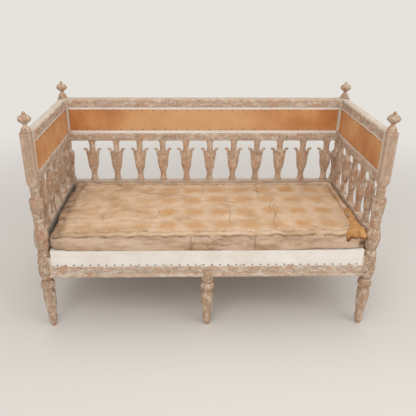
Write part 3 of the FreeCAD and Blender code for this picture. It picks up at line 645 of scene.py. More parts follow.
def linen_canvas(name, along, faded, tint):
    """Coarse rust-brown linen, woven plain: faded paler in patches and towards the middle of the back.
    The thread is drawn at 2.4 mm so that it shows."""
    material, tree, place = surface(name, {"Roughness": 0.92, "Sheen Weight": 0.1})
    fade = mottled(tree, place, 170.0, [(0.32, "#BE7D44"), (0.47, "#D0925A"), (0.60, "#DCA66E"), (0.74, "#E1B27F")],
                   4.0, 0.55)[1]
    sideways = add(tree, "ShaderNodeSeparateXYZ", {0: place}).outputs["X"]
    off_middle = add(tree, "ShaderNodeMath", {0: sideways}, operation="ABSOLUTE").outputs[0]
    bleach = add(tree, "ShaderNodeMapRange", {"Value": off_middle, "From Min": 0.60, "From Max": 0.15,
                                              "To Max": faded}).outputs[0]
    slubs = add(tree, "ShaderNodeTexNoise", {"Vector": place, "Scale": per_mm(5.0), "Detail": 3.0}).outputs[0]
    slubbed = coats(tree, "#B9885C", (slubs, "#E4CDB0"))
    colour = coats(tree, fade, (bleach, "#E2BC92"), (0.35, slubbed, "MULTIPLY"), (1.0, tint, "MULTIPLY"))
    return coated(material, colour, woven(tree, place, 2.4, along, "Z"), 0.5, 0.25)


# Rust squares on the squab: axis, middle of the first and pitch in millimetres, and where a square is full and gone
# as shares of the pitch
STAIN_GRID = [("X", 79.0, 120.0, 0.18, 0.47), ("Y", 168.0, 129.0, 0.10, 0.40)]


def stained_sacking():
    """Old loosely woven flax sacking on a squab: tan, with rust-coloured squares left between straps that once lay on
    it, streaks of dirt towards the left end, pinker sides, and browned creases. The thread is drawn at 2.6 mm so that
    it shows."""
    material, tree, place = surface("stained_sacking", {"Roughness": 0.95})
    broad, ground = mottled(tree, place, 120.0,
                            [(0.30, "#B29170"), (0.46, "#CAAC8D"), (0.58, "#D5BA9E"), (0.72, "#BF9E79")], 5.0, 0.6)
    wander = add(tree, "ShaderNodeTexNoise", {"Vector": place, "Scale": per_mm(60.0), "Detail": 2.0}).outputs[1]
    moved = add(tree, "ShaderNodeVectorMath", {0: wander, 1: (0.035, 0.03, 0.0), 2: place}, operation="MULTIPLY_ADD")
    askew = add(tree, "ShaderNodeMapping", {"Vector": moved.outputs[0], "Rotation": (0.0, 0.0, -0.025)}).outputs[0]
    split = add(tree, "ShaderNodeSeparateXYZ", {0: askew}).outputs
    clearer = add(tree, "ShaderNodeMapRange", {"Value": split["X"], "From Min": -0.42, "From Max": -0.08,
                                               "To Min": 0.38}).outputs[0]
    strength = ramp(add(tree, "ShaderNodeValToRGB", {"Fac": broad}), [(0.36, 0.42), (0.64, 0.84)])
    stain = add(tree, "ShaderNodeMath", {0: strength, 1: clearer}, operation="MULTIPLY").outputs[0]
    for axis, first, pitch, full, gone in STAIN_GRID:
        step = add(tree, "ShaderNodeMath", {0: split[axis], 1: per_mm(pitch), 2: -first / pitch},
                   operation="MULTIPLY_ADD").outputs[0]
        share = add(tree, "ShaderNodeMath", {0: step, 1: 0.5}, operation="PINGPONG").outputs[0]
        inside = ramp(add(tree, "ShaderNodeValToRGB", {"Fac": share}), [(full, 1.0), (gone, 0.0)])
        stain = add(tree, "ShaderNodeMath", {0: stain, 1: inside}, operation="MULTIPLY").outputs[0]
    level = add(tree, "ShaderNodeMapping", {"Vector": place, "Scale": (0.28, 1.0, 1.0)}).outputs[0]
    streaks, streak = mottled(tree, level, 34.0, [(0.46, 0.0), (0.66, 0.46)], 4.0, 0.6)
    leftward = add(tree, "ShaderNodeMapRange", {"Value": split["X"], "From Min": 0.20, "From Max": -0.40,
                                                "To Min": 0.25}).outputs[0]
    streaky = add(tree, "ShaderNodeMath", {0: streak, 1: leftward}, operation="MULTIPLY").outputs[0]
    specks, soil = mottled(tree, place, 10.0, [(0.57, 0.0), (0.72, 0.62)], 5.0, 0.75)
    pink = ramp(add(tree, "ShaderNodeValToRGB", {"Fac": streaks}),
                [(0.34, "#A98769"), (0.48, "#C3A489"), (0.62, "#D3B8A0")])
    border, darkening = (add(tree, "ShaderNodeAttribute", attribute_name=layer).outputs["Fac"]
                    for layer in ("border", "darkening"))
    # The darkening attribute browns the squab's worn seams and creases and soils its left end; it also paints shade
    # along that left end and in the hollow below the torn corner.
    colour = coats(tree, ground, (stain, "#BF8C50"), (streaky, "#AE8558"), (soil, "#9A7A5A"), (border, pink),
                   (darkening, "#5E4530"))
    lumps = add(tree, "ShaderNodeMath", {0: woven(tree, place, 2.6, "X", "Y"), 1: 0.35, 2: specks},
                operation="MULTIPLY_ADD").outputs[0]
    return coated(material, colour, lumps, 0.5, 0.7)


def torn_linen():
    """Rust-dyed linen of an older cover, showing where the squab's corner is torn: orange brown, soft, fraying."""
    material, tree, place = surface("torn_rust_linen", {"Roughness": 0.95})
    fade = mottled(tree, place, 22.0, [(0.28, "#B57F49"), (0.45, "#CB965C"), (0.60, "#D2A269"), (0.75, "#D9B080")],
                   5.0, 0.65)[1]
    frayed = add(tree, "ShaderNodeAttribute", attribute_name="darkening").outputs["Fac"]
    return coated(material, coats(tree, fade, (frayed, "#74401C")), woven(tree, place, 2.6, "X", "Y"), 0.6, 0.3)


def old_thread():
    """Waxed stitching thread, browned with age."""
    material, tree, place = surface("old_waxed_thread", {"Roughness": 0.8})
    return coated(material, mottled(tree, place, 9.0, [(0.35, "#4A3828"), (0.65, "#7A6248")], 2.0)[1])


def left_grey_paint():
    """Grey paint left on the face that the scraper could not reach behind the squab, rubbed on the top edge."""
    material, tree, place = surface("left_grey_paint", {"Roughness": 0.75})
    patches, paint = mottled(tree, place, 18.0, [(0.35, "#958A7D"), (0.52, "#A99E90"), (0.66, "#BBAE9E")], 6.0, 0.7)
    height = add(tree, "ShaderNodeSeparateXYZ", {0: place}).outputs["Z"]
    rubbed = add(tree, "ShaderNodeMapRange", {"Value": height, "From Min": (LOWER_TOP - 7.0) * MM,
                                              "From Max": (LOWER_TOP - 1.0) * MM}).outputs[0]
    return coated(material, coats(tree, paint, (rubbed, "#B79E87")), patches, 0.4, 0.6)


def jute():
    """Undyed jute webbing and hessian: brown, hairy, woven of thick yarn."""
    material, tree, place = surface("jute_webbing", {"Roughness": 0.95})
    fade = mottled(tree, place, 12.0, [(0.30, "#8A6B47"), (0.55, "#A98A62"), (0.75, "#BFA179")], 4.0)[1]
    return coated(material, fade, woven(tree, place, 3.2, "X", "Y"), 0.6, 0.3)


def sawn_pine():
    """Unpainted pine inside the seat, straight from the saw: yellow brown, fine cross marks."""
    material, tree, place = surface("sawn_pine", {"Roughness": 0.8})
    along = add(tree, "ShaderNodeMapping", {"Vector": place, "Scale": (1.0, 0.12, 1.0)}).outputs[0]
    grain, colour = mottled(tree, along, 7.0, [(0.32, "#9A7448"), (0.55, "#B8915F"), (0.75, "#C7A574")], 5.0)
    return coated(material, colour, grain, 0.3, 0.4)


def blued_iron():
    """Cut tacks of blued iron, rusted brown in places."""
    material, tree, place = surface("blued_iron", {"Roughness": 0.55, "Metallic": 0.7})
    return coated(material, mottled(tree, place, 4.0, [(0.40, "#453E39"), (0.60, "#5C4B40"), (0.75, "#785843")],
                                    3.0)[1])


UPRIGHT_WOOD = scraped_paint_wood("scraped_paint_upright", (1.0, 1.0, 0.30), "#F3EBE2", "#C2AA99", 1.0)
# Painted light: the back balusters' wood is tinted lighter and warmer than the other uprights', for the light they
# catch from the front and off the canvas.
LIT_BALUSTER_WOOD = scraped_paint_wood("scraped_paint_baluster_lit", (1.0, 1.0, 0.30), "#FFF6EC", "#C2AA99", 0.0)
LONG_WOOD = scraped_paint_wood("scraped_paint_long_rail", (0.20, 1.0, 1.0), "#FFFFFF", "#BCA792", 0.1)
SIDE_WOOD = scraped_paint_wood("scraped_paint_side_rail", (1.0, 0.20, 1.0), "#FFFFFF", "#D0C6B9", 0.3)
CALICO = cotton_calico()
BACK_CANVAS = linen_canvas("rust_linen_back", "X", 0.55, "#FFFFFF")
SIDE_CANVAS = linen_canvas("rust_linen_side", "Y", 0.0, "#FFFFF2")
SACKING = stained_sacking()
TORN_LINEN = torn_linen()
THREAD = old_thread()
GREY_PAINT = left_grey_paint()
JUTE = jute()
PINE = sawn_pine()
IRON = blued_iron()


# Posts, legs and finials

def block_shape(x_sign, y_sign):
    """Shape of a post's top: squared with chamfered corners, fluted on its two outer faces and limed on the others;
    gives the radius, the dirt in the flutes and how limed the point is."""
    bottom = sum(length[0] for length, carving in POST if carving != "block")
    low = bottom + SHOULDER[0] + FLUTE_STOP
    high = bottom + SHOULDER[0] + BLOCK[0] - FLUTE_STOP

    def shape(angle, level, radius):
        if level < bottom + 0.01:
            return radius, 0.0, 0.0
        fluted = 0.0
        x, y = math.cos(angle), math.sin(angle)
        square = min(BLOCK_HALF / max(abs(x), abs(y)), (2 * BLOCK_HALF - BLOCK_CHAMFER) / (abs(x) + abs(y)))
        outward = (x * x_sign if abs(x) > abs(y) else y * y_sign) > 0
        if outward and low < level < high:
            across = BLOCK_HALF * (y / abs(x) if abs(x) > abs(y) else x / abs(y))
            off = abs(abs(across) - FLUTE_SPACING / 2)
            stop = blend_in(min(level - low, high - level), 0.0, 4.0)
            fluted = stop * math.sqrt(max(1 - (2 * off / FLUTE_WIDTH) ** 2, 0.0))
            square -= FLUTE_DEPTH * fluted
        inner = blend_in(min(-x * x_sign, -y * y_sign), 0.0, 0.3) * blend_in(level, low, low + LIMED_RISE)
        return min(radius, square), FLUTE_DIRT * fluted, inner

    return shape


def corner_posts():
    """Four turned and carved posts, each with its finial."""
    top = sum(length[0] for length, carving in POST)
    for depth, y_sign in (("front", -1), ("back", 1)):
        for width, x_sign in (("left", -1), ("right", 1)):
            name = depth + "_" + width
            x, y = x_sign * POST_X, y_sign * POST_Y
            bm = turned(POST, TURNING_STEPS, 7.0 * x_sign + 31.0 * y_sign, block_shape(x_sign, y_sign))
            bmesh.ops.translate(bm, vec=(x, y, 0), verts=bm.verts)
            piece("carved_post_" + name, bm, UPRIGHT_WOOD, [name + "_post"])
            bm = turned(FINIAL, FINIAL_STEPS, 11.0 * x_sign + 5.0 * y_sign)
            bmesh.ops.translate(bm, vec=(x, y, top), verts=bm.verts)
            piece("carved_finial_" + name, bm, UPRIGHT_WOOD, [name + "_finial"])


def centre_legs():
    """Middle legs under the long seat rails, like the posts but shorter and with a carved knee."""
    for depth, y_sign in (("front", -1), ("back", 1)):
        bm = turned(MIDDLE_LEG, TURNING_STEPS, 17.0 * y_sign)
        bmesh.ops.translate(bm, vec=(0, y_sign * POST_Y, 0), verts=bm.verts)
        piece("carved_leg_" + depth, bm, UPRIGHT_WOOD, [depth + "_centre_leg"])


# Balusters

def tube(bm, path, radii, sides):
    """Closed round rod along a path of points, with a radius at each."""
    last = len(path) - 1
    hoops = []
    for index, (place, radius) in enumerate(zip(path, radii)):
        along = (path[min(index + 1, last)] - path[max(index - 1, 0)]).normalized()
        turn = Vector((0, 0, 1)).rotation_difference(along).to_matrix().to_4x4()
        hoop = bmesh.ops.create_circle(bm, segments=sides, radius=radius, cap_ends=index in (0, last))["verts"]
        bmesh.ops.transform(bm, matrix=Matrix.Translation(place) @ turn, verts=hoop)
        hoops.append(hoop)
    for first, second in zip(hoops, hoops[1:]):
        for side in range(sides):
            after = (side + 1) % sides
            bm.faces.new((first[side], first[after], second[after], second[side]))


def ear(side):
    """Curled ear of a baluster, flaring out of the cup's side to a rounded tip."""
    bm = bmesh.new()
    path = []
    radii = []
    for index in range(EAR_STEPS + 1):
        t = index / EAR_STEPS
        weights = ((1 - t) ** 3, 3 * t * (1 - t) ** 2, 3 * t * t * (1 - t), t ** 3)
        path.append(Vector((sum(w * x for w, (x, z) in zip(weights, EAR_PATH)), 0,
                            sum(w * z for w, (x, z) in zip(weights, EAR_PATH)))))
        radii.append(EAR_ROOT_RADIUS + (EAR_END_RADIUS - EAR_ROOT_RADIUS) * t)
    tube(bm, path, radii, EAR_SIDES)
    tip = bmesh.ops.create_icosphere(bm, subdivisions=2, radius=EAR_TIP_RADIUS)["verts"]
    bmesh.ops.translate(bm, vec=path[-1], verts=tip)
    if side < 0:
        bmesh.ops.scale(bm, vec=(-1, 1, 1), verts=bm.verts)
    bmesh.ops.recalc_face_normals(bm, faces=bm.faces)
    return bm


def baluster(ears, seed):
    """Flattened tulip with a leaf-carved cup and ears on the sides given, standing at the origin."""
    bm = turned(BALUSTER, BALUSTER_STEPS, seed)
    for vert in bm.verts:
        depth = abs(vert.co.y)
        vert.co.y *= BALUSTER_HALF_DEPTH / (BALUSTER_HALF_DEPTH ** 4 + depth ** 4) ** 0.25
    for side in ears:
        part = ear(side)
        scrap = bpy.data.meshes.new("ear")
        part.to_mesh(scrap)
        part.free()
        bm.from_mesh(scrap)
        bpy.data.meshes.remove(scrap)
    return bm


def balusters():
    """Balusters where their nodes stand; the one beside a post has lost the ear on that side."""
    for node in sorted(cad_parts):
        if "_baluster_" not in node:
            continue
        low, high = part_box(node)
        side = node.split("_")[0]
        number = int(node.rsplit("_", 1)[1])
        axis = 0 if side == "back" else 1
        sign = -1 if side == "right" else 1
        ends = sorted((sign * low[axis] / MM, sign * high[axis] / MM))
        along, ears = sum(ends) / 2, (-1, 1)
        if max(high[0] - low[0], high[1] - low[1]) < TWO_EARS_WIDTH * MM:
            along, ears = (ends[0] + BALUSTER_RADIUS, (1,)) if side == "right" else (ends[1] - BALUSTER_RADIUS, (-1,))
        bm = baluster(ears, 13.0 * number)
        lean = math.radians(BALUSTER_LEAN * math.sin(5.1 * number + len(side)))
        bmesh.ops.rotate(bm, cent=(0, 0, 0), matrix=Matrix.Rotation(lean, 3, "Y"), verts=bm.verts)
        bmesh.ops.translate(bm, vec=(along, 0, BALUSTER_BOTTOM), verts=bm.verts)
        to_side(bm, side)
        # The back balusters take the lighter, warmer copy of the wood: painted light.
        wood = LIT_BALUSTER_WOOD if side == "back" else UPRIGHT_WOOD
        piece("tulip_" + node, bm, wood, [node])


# Rails

CREST_SECTION = [
    (-PANEL_SET, CREST_BOTTOM), (CREST_HALF, CREST_BOTTOM), (CREST_HALF, CREST_TOP - CREST_CHAMFER),
    (CREST_HALF - CREST_CHAMFER, CREST_TOP), (CREST_CHAMFER - CREST_HALF, CREST_TOP),
    (-CREST_HALF, CREST_TOP - CREST_CHAMFER), (-CREST_HALF, CREST_FACE_BOTTOM), (-PANEL_SET, CREST_FACE_BOTTOM),
]
MIDDLE_SECTION = [
    (-MIDDLE_HALF, MIDDLE_BOTTOM), (MIDDLE_HALF, MIDDLE_BOTTOM), (MIDDLE_HALF, MIDDLE_TOP), (-PANEL_SET, MIDDLE_TOP),
    (-PANEL_SET, MIDDLE_FACE_TOP), (-MIDDLE_HALF, MIDDLE_FACE_TOP),
]
LOWER_SECTION = [
    (-LOWER_HALF, LOWER_BOTTOM), (LOWER_HALF, LOWER_BOTTOM), (LOWER_HALF, LOWER_TOP), (-LOWER_HALF, LOWER_TOP),
]
SEAT_SECTION = [
    (-SEAT_RAIL_HALF, SEAT_RAIL_BOTTOM), (SEAT_RAIL_HALF + SEAT_LIP, SEAT_RAIL_BOTTOM),
    (SEAT_RAIL_HALF + SEAT_LIP, SEAT_LIP_TOP), (SEAT_RAIL_HALF, SEAT_LIP_TOP + SEAT_LIP),
    (SEAT_RAIL_HALF, SEAT_RAIL_TOP), (-SEAT_RAIL_HALF, SEAT_RAIL_TOP),
]


def rails():
    """Rails with worn edges; hands have rubbed the top ones even, and one keeps grey paint on its inner face."""
    bars = []
    for side in ("back", "left", "right"):
        top_node = "crest_rail" if side == "back" else side + "_arm_rail"
        bars += [(top_node, CREST_SECTION, side), (side + "_middle_rail", MIDDLE_SECTION, side),
                 (side + "_lower_rail", LOWER_SECTION, side), (side + "_seat_rail", SEAT_SECTION, side)]
    bars.append(("front_seat_rail", SEAT_SECTION, "front"))
    for node, section, side in bars:
        long = side in ("back", "front")
        bm = fillet_bar(section, (POST_X if long else POST_Y) - RAIL_SHOULDER, LONG_CUTS if long else SHORT_CUTS)
        roughen(bm, RAIL_WAVER, len(node) * 3.0)
        smooth = bm.verts.layers.float.new("smooth")
        top = max(z for y, z in section)
        handled = section is CREST_SECTION or node == "back_lower_rail"
        for vert in bm.verts:
            vert[smooth] = 1.0 if handled and vert.co.z > top - CREST_CHAMFER - EDGE_WEAR else 0.0
        painted = node == "left_lower_rail"
        bm.normal_update()
        for face in bm.faces:
            face.material_index = 1 if painted and face.normal.y < -0.7 else 0
        to_side(bm, side)
        rail = piece("worn_" + node, bm, LONG_WOOD if long else SIDE_WOOD, [node])
        if painted:
            rail.data.materials.append(GREY_PAINT)


def carved_bands():
    """Carved strips on the inner faces of the crest, arm and middle rails and on the front seat rail's outer face."""
    for side in ("back", "left", "right"):
        span, wood, grime, top = (POST_X, LONG_WOOD, 1.0, "crest") if side == "back" else (
            POST_Y, SIDE_WOOD, 1.6, side + "_arm")
        for name, low, high, face in (
                (top, CREST_FACE_BOTTOM + 2, CREST_TOP - CREST_CHAMFER - 1, -CREST_HALF),
                (side + "_middle", MIDDLE_BOTTOM + 3, MIDDLE_FACE_TOP - 3, -MIDDLE_HALF)):
            bm = relief_band(2 * (span - BLOCK_HALF), low, high, face, tongue_pattern, grime)
            to_side(bm, side)
            piece("carved_band_" + name, bm, wood)
    bm = relief_band(2 * (POST_X - FRONT_BAND_STOP), SEAT_LIP_TOP + SEAT_LIP + 1, COVER_BOTTOM - 1, -SEAT_RAIL_HALF,
                     coin_pattern, 0.8)
    bmesh.ops.translate(bm, vec=(0, -POST_Y, 0), verts=bm.verts)
    piece("carved_band_front_seat", bm, LONG_WOOD)


# Panels and seat cover

def cloth_strip(half, low, high, face, wave, scallop, tacks):
    """Thin closed sheet on the XZ plane facing -Y: nailed top and bottom, slack between the tacks."""
    bm = bmesh.new()
    bmesh.ops.create_grid(bm, x_segments=round(2 * half / CLOTH_STEP), y_segments=CLOTH_ROWS, size=0.5)
    for vert in bm.verts:
        along = vert.co.x * 2 * half
        up = vert.co.y + 0.5
        between = 0.5 - 0.5 * math.cos(math.tau * (along + half) / (2 * half) * tacks + math.pi)
        edge = abs(2 * up - 1) ** 8
        bow = uneven((along * 0.012, up * 2.0, face)) * wave * (1 - edge)
        pull = scallop * (1 - between) * edge * (1 if up < 0.5 else -1)
        ragged = 0.8 * uneven((along * 0.07, up, face)) * edge
        vert.co = (along, face + bow - CLOTH_THICKNESS, low + up * (high - low) + pull + ragged)
    thicken(bm, (0, CLOTH_THICKNESS, 0))
    bmesh.ops.recalc_face_normals(bm, faces=bm.faces)
    return bm


def panels():
    """Calico lining in the rebates of each panel, and a narrower canvas tacked over it."""
    for side in ("back", "left", "right"):
        span, tacks, cloth, lower, upper = (POST_X, BACK_TACKS, BACK_CANVAS, CANVAS_LOWER, CANVAS_UPPER) if (
            side == "back") else (POST_Y, SIDE_TACKS, SIDE_CANVAS, CANVAS_SIDE, CANVAS_SIDE)
        half = span - BLOCK_HALF - PANEL_STOP
        low, high = MIDDLE_FACE_TOP + 1, CREST_FACE_BOTTOM - 1
        bm = cloth_strip(half, low, high, -PANEL_SET - LINING_OUT, 0.5, 0.6, tacks)
        to_side(bm, side)
        lining = piece(side + "_calico_lining", bm, CALICO, [side + "_lining"])
        half, low, high = half - CANVAS_END, low + lower, high - upper
        bm = cloth_strip(half, low, high, -PANEL_SET - CANVAS_OUT, 1.2, 1.8, tacks)
        to_side(bm, side)
        canvas = piece(side + "_linen_canvas", bm, cloth, [side + "_canvas"])


def draped(x, y):
    """Where a point of the flat seat cover ends up: on the seat, or down one of its four sides."""
    down = max(abs(x) - COVER_X, abs(y) - COVER_Y, 0.0)
    swell = 0.9 * uneven((x * 0.02, y * 0.02, 1.0)) + 0.5 * uneven((x * 0.06, y * 0.06, 4.0))
    if down == 0:
        near = min(COVER_X - abs(x), COVER_Y - abs(y))
        round_off = 5.0 * (1 - blend_in(near, 0.0, 14.0))
        return x, y, COVER_TOP - 1.0 - round_off + min(swell, 0.4) * 0.6
    along = x if abs(y) > COVER_Y else y
    pleat = 0.7 * uneven((along * 0.03, down * 0.01, 9.0))
    hem = 1.5 * math.cos(math.tau * along / HEM_PITCH) * blend_in(down, COVER_DROP - 14.0, COVER_DROP)
    level = COVER_TOP - down + hem * 0.6
    out = -1.6 + swell * 0.5 + pleat - 0.8 * blend_in(down, COVER_DROP - 16.0, COVER_DROP)
    if abs(y) > COVER_Y:
        return x, math.copysign(COVER_Y + out, y), level
    return math.copysign(COVER_X + out, x), y, level


def seat_cover():
    """Calico drawn over the seat and down its four sides, cut round the posts with the cut edges tucked in."""
    length, width = 2 * (COVER_X + COVER_DROP), 2 * (COVER_Y + COVER_DROP)
    notch_x, notch_y = POST_X - COVER_NOTCH, POST_Y - COVER_NOTCH
    bm = bmesh.new()
    bmesh.ops.create_grid(bm, x_segments=round(length / COVER_STEP), y_segments=round(width / COVER_STEP), size=0.5)
    for vert in bm.verts:
        vert.co = (vert.co.x * length, vert.co.y * width, 0)
    gone = [v for v in bm.verts
            if min(abs(v.co.x) - notch_x, abs(v.co.y) - notch_y) > COVER_STEP * 0.5]
    bmesh.ops.delete(bm, geom=gone, context="VERTS")
    for vert in bm.verts:
        vert.co = draped(vert.co.x, vert.co.y)
    cut_edges = [edge for edge in bm.edges if len(edge.link_faces) == 1 and all(
        min(abs(v.co.x) - notch_x, abs(v.co.y) - notch_y) > -COVER_STEP and v.co.z > COVER_TOP - 8.0
        for v in edge.verts)]
    flaps = new_points(bmesh.ops.extrude_edge_only(bm, edges=cut_edges))
    bmesh.ops.translate(bm, vec=(0, 0, -TUCK), verts=flaps)
    bmesh.ops.recalc_face_normals(bm, faces=bm.faces)
    area = sum(face.calc_area() for face in bm.faces) * MM * MM
    cover = piece("calico_seat_cover", bm, CALICO, ["seat_cover"])


def seat_stuffing():
    """Thin hair pad in hessian under the cover, seen between the straps from below."""
    low, high = (Vector(corner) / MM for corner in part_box("seat_pad"))
    bm = bmesh.new()
    bmesh.ops.create_cube(bm, size=1.0)
    for axis, cuts in enumerate(PAD_CUTS):
        bmesh.ops.subdivide_edges(bm, edges=edges_along(bm, axis, 0.5), cuts=cuts, use_grid_fill=True)
    for vert in bm.verts:
        x, y, z = ((a + b) / 2 + c * (b - a - PAD_SLACK) for a, b, c in zip(low, high, vert.co))
        z += PAD_LUMP * uneven((x, y, z), 0.014)
        past_x, past_y = abs(x) - (POST_X - PAD_NOTCH), abs(y) - (POST_Y - PAD_NOTCH)
        if min(past_x, past_y) > 0:
            if past_x < past_y:
                x -= math.copysign(past_x, x)
            else:
                y -= math.copysign(past_y, y)
        vert.co = (x, y, z)
    bmesh.ops.recalc_face_normals(bm, faces=bm.faces)
    pad = piece("hessian_seat_pad", bm, JUTE, ["seat_pad"])


def webbing():
    """Jute straps that pass over and under each other below the pad."""
    inside_x, inside_y = POST_X - SEAT_RAIL_HALF, POST_Y - SEAT_RAIL_HALF
    pitch_x, pitch_y = 2 * inside_x / WEB_COLUMNS, 2 * inside_y / WEB_ROWS
    for node, count, pitch, other, inside, spread, way in (
            ("webbing_lengthwise", WEB_ROWS, pitch_y, pitch_x, inside_x, inside_y, 1),
            ("webbing_crosswise", WEB_COLUMNS, pitch_x, pitch_y, inside_y, inside_x, -1)):
        bm = bmesh.new()
        length = 2 * (inside + WEB_END)
        for index in range(count):
            middle = (index + 0.5) * pitch - spread
            strap = bmesh.ops.create_grid(bm, x_segments=round(length / WEB_STEP), y_segments=6, size=0.5)["verts"]
            for vert in strap:
                along, across = vert.co.x * length, middle + vert.co.y * WEB_WIDTH
                sway = way * math.cos(math.pi * ((along + inside) / other - 0.5 + index))
                sway *= blend_in(inside - abs(along), -4.0, 18.0)
                level = SEAT_RAIL_TOP + WEB_LIFT + WEB_SWAY * sway
                vert.co = (along, across, level) if way > 0 else (across, along, level)
        thicken(bm, (0, 0, WEB_THICKNESS * 0.5))
        bmesh.ops.recalc_face_normals(bm, faces=bm.faces)
        piece("woven_" + node, bm, JUTE, [node])


# Squab

def cushion_blank():
    """Squab before stuffing: a slightly small rounded slab in metres, remeshed fine enough to swell."""
    bm = bmesh.new()
    bmesh.ops.create_cube(bm, size=1.0)
    size = Vector((CUSHION_RIGHT - CUSHION_LEFT - 2 * BLANK_SHRINK, CUSHION_BACK - CUSHION_FRONT - 2 * BLANK_SHRINK,
                   CUSHION_EDGE - 2 * BLANK_SINK))
    middle = Vector(((CUSHION_LEFT + CUSHION_RIGHT) / 2, (CUSHION_FRONT + CUSHION_BACK) / 2,
                     CUSHION_BOTTOM + BLANK_SINK + size.z / 2))
    for vert in bm.verts:
        vert.co = Vector(a * b for a, b in zip(vert.co, size)) + middle
    bmesh.ops.bevel(bm, geom=edges_along(bm, 2, 1.0), offset=CUSHION_CORNER, affect="EDGES", segments=6, profile=0.5,
                    material=-1)
    bmesh.ops.bevel(bm, geom=[e for e in bm.edges if e.calc_face_angle(0.0) > 1.0], offset=BLANK_ROUND,
                    affect="EDGES", segments=3, profile=0.5, material=-1)
    bmesh.ops.scale(bm, vec=(MM, MM, MM), verts=bm.verts)
    mesh = bpy.data.meshes.new("squab_blank")
    bm.to_mesh(mesh)
    bm.free()
    obj = bpy.data.objects.new("squab_blank", mesh)
    bpy.context.scene.collection.objects.link(obj)
    remesh = obj.modifiers.new("Remesh", "REMESH")
    remesh.mode = "VOXEL"
    remesh.voxel_size = BLANK_VOXEL * MM
    return obj


def settled(obj):
    """The object's mesh with its modifiers applied."""
    return bpy.data.meshes.new_from_object(obj.evaluated_get(bpy.context.evaluated_depsgraph_get()))


def stuffed(obj):
    """Swell the blank with cloth under pressure, with how far each point may move capped."""
    blank = settled(obj)
    obj.modifiers.clear()
    obj.data = blank
    cloth = obj.modifiers.new("Cloth", "CLOTH").settings
    cloth.use_pressure = True
    cloth.uniform_pressure_force = SWELL_PRESSURE
    cloth.quality = 4
    cloth.mass = SWELL_MASS
    cloth.effector_weights.gravity = 0.0
    for number in range(1, SWELL_FRAMES + 1):
        bpy.context.scene.frame_set(number)
    swollen = settled(obj)
    bpy.context.scene.frame_set(1)
    obj.modifiers.clear()
    for vert, grown in zip(blank.vertices, swollen.vertices):
        shift = grown.co - vert.co
        if shift.length > SWELL_LIMIT * MM:
            shift *= SWELL_LIMIT * MM / shift.length
        vert.co += shift
    bpy.data.meshes.remove(swollen)
    return blank


def squab():
    """Loose squab: swollen blank fitted to its place, then its rolled edge, sewn seams, creases and lumps."""
    obj = cushion_blank()
    bm = bmesh.new()
    bm.from_mesh(stuffed(obj))
    bpy.data.objects.remove(obj)
    bmesh.ops.subdivide_edges(bm, edges=bm.edges, cuts=1, use_grid_fill=True, smooth=0.6)
    low = Vector(min(v.co[axis] for v in bm.verts) for axis in range(3))
    high = Vector(max(v.co[axis] for v in bm.verts) for axis in range(3))
    start = Vector((CUSHION_LEFT, CUSHION_FRONT, CUSHION_BOTTOM))
    size = Vector((CUSHION_RIGHT - CUSHION_LEFT, CUSHION_BACK - CUSHION_FRONT, CUSHION_EDGE))
    # Browning from wear, with painted shade at the left end and in the hollow below the torn corner
    darkening = bm.verts.layers.float.new("darkening")
    border = bm.verts.layers.float.new("border")
    for vert in bm.verts:
        share = [(vert.co[axis] - low[axis]) / (high[axis] - low[axis]) for axis in range(3)]
        share[2] = min(max((share[2] - RIM_SHARE) / (1 - 2 * RIM_SHARE), 0.0), 1.0)
        vert.co, vert[darkening], vert[border] = squab_point(start + Vector(a * b for a, b in zip(share, size)))
    bmesh.ops.recalc_face_normals(bm, faces=bm.faces)
    skin = BVHTree.FromBMesh(bm)
    cushion = piece("sacking_squab", bm, SACKING, ["cushion"], body="cushion", sharp=180.0)
    loose_threads(skin)
    torn_corner(skin)


def squab_top(x, y, inset, along, at_end, patchy):
    """How far the top rises at a point, and how browned it is: rolled edge, seam inside it, crown, lumps, drags."""
    wander = 8.0 * uneven((x, y, 11.0), 0.016) + 3.0 * uneven((x, y, 15.0), 0.06)
    seam = peak(inset - CUSHION_SEAM - wander, 5.5)
    if at_end and x < 0:
        seam *= LEFT_SEAM
    pucker = 4.2 * peak(inset - CUSHION_SEAM, 24.0) * uneven((along * 0.055, inset * 0.02, 2.0))
    roll = 4.0 * math.sin(math.pi * min(max(inset / CUSHION_SEAM, 0.0), 1.0))
    lumps = 4.0 * uneven((x, y, 3.0), 0.011) + 2.6 * uneven((x, y, 7.0), 0.028)
    leftmost = blend_in(CUSHION_LEFT + 150.0 - x, 0.0, 120.0)
    slant = uneven(((0.5 * x - 0.86 * y) * 0.034, (0.86 * x + 0.5 * y) * 0.007, 27.0))
    drag = 0.9 * uneven((x * 0.012, y * 0.05, 21.0)) * blend_in(-150.0 - x, 0.0, 300.0) + 5.0 * leftmost * slant
    crown = CUSHION_CROWN * blend_in(inset, CUSHION_SEAM, CUSHION_SEAM + 170.0)
    tilt = FRONT_TILT * x / CUSHION_RIGHT * blend_in(CUSHION_FRONT + 110.0 - y, 0.0, 110.0)
    rise = tilt + crown + roll + (lumps + drag) * blend_in(inset, 10.0, 50.0) + pucker - 6.0 * seam
    return rise, max(seam * 0.7 * patchy, 0.40 * leftmost * peak(slant, 0.10))


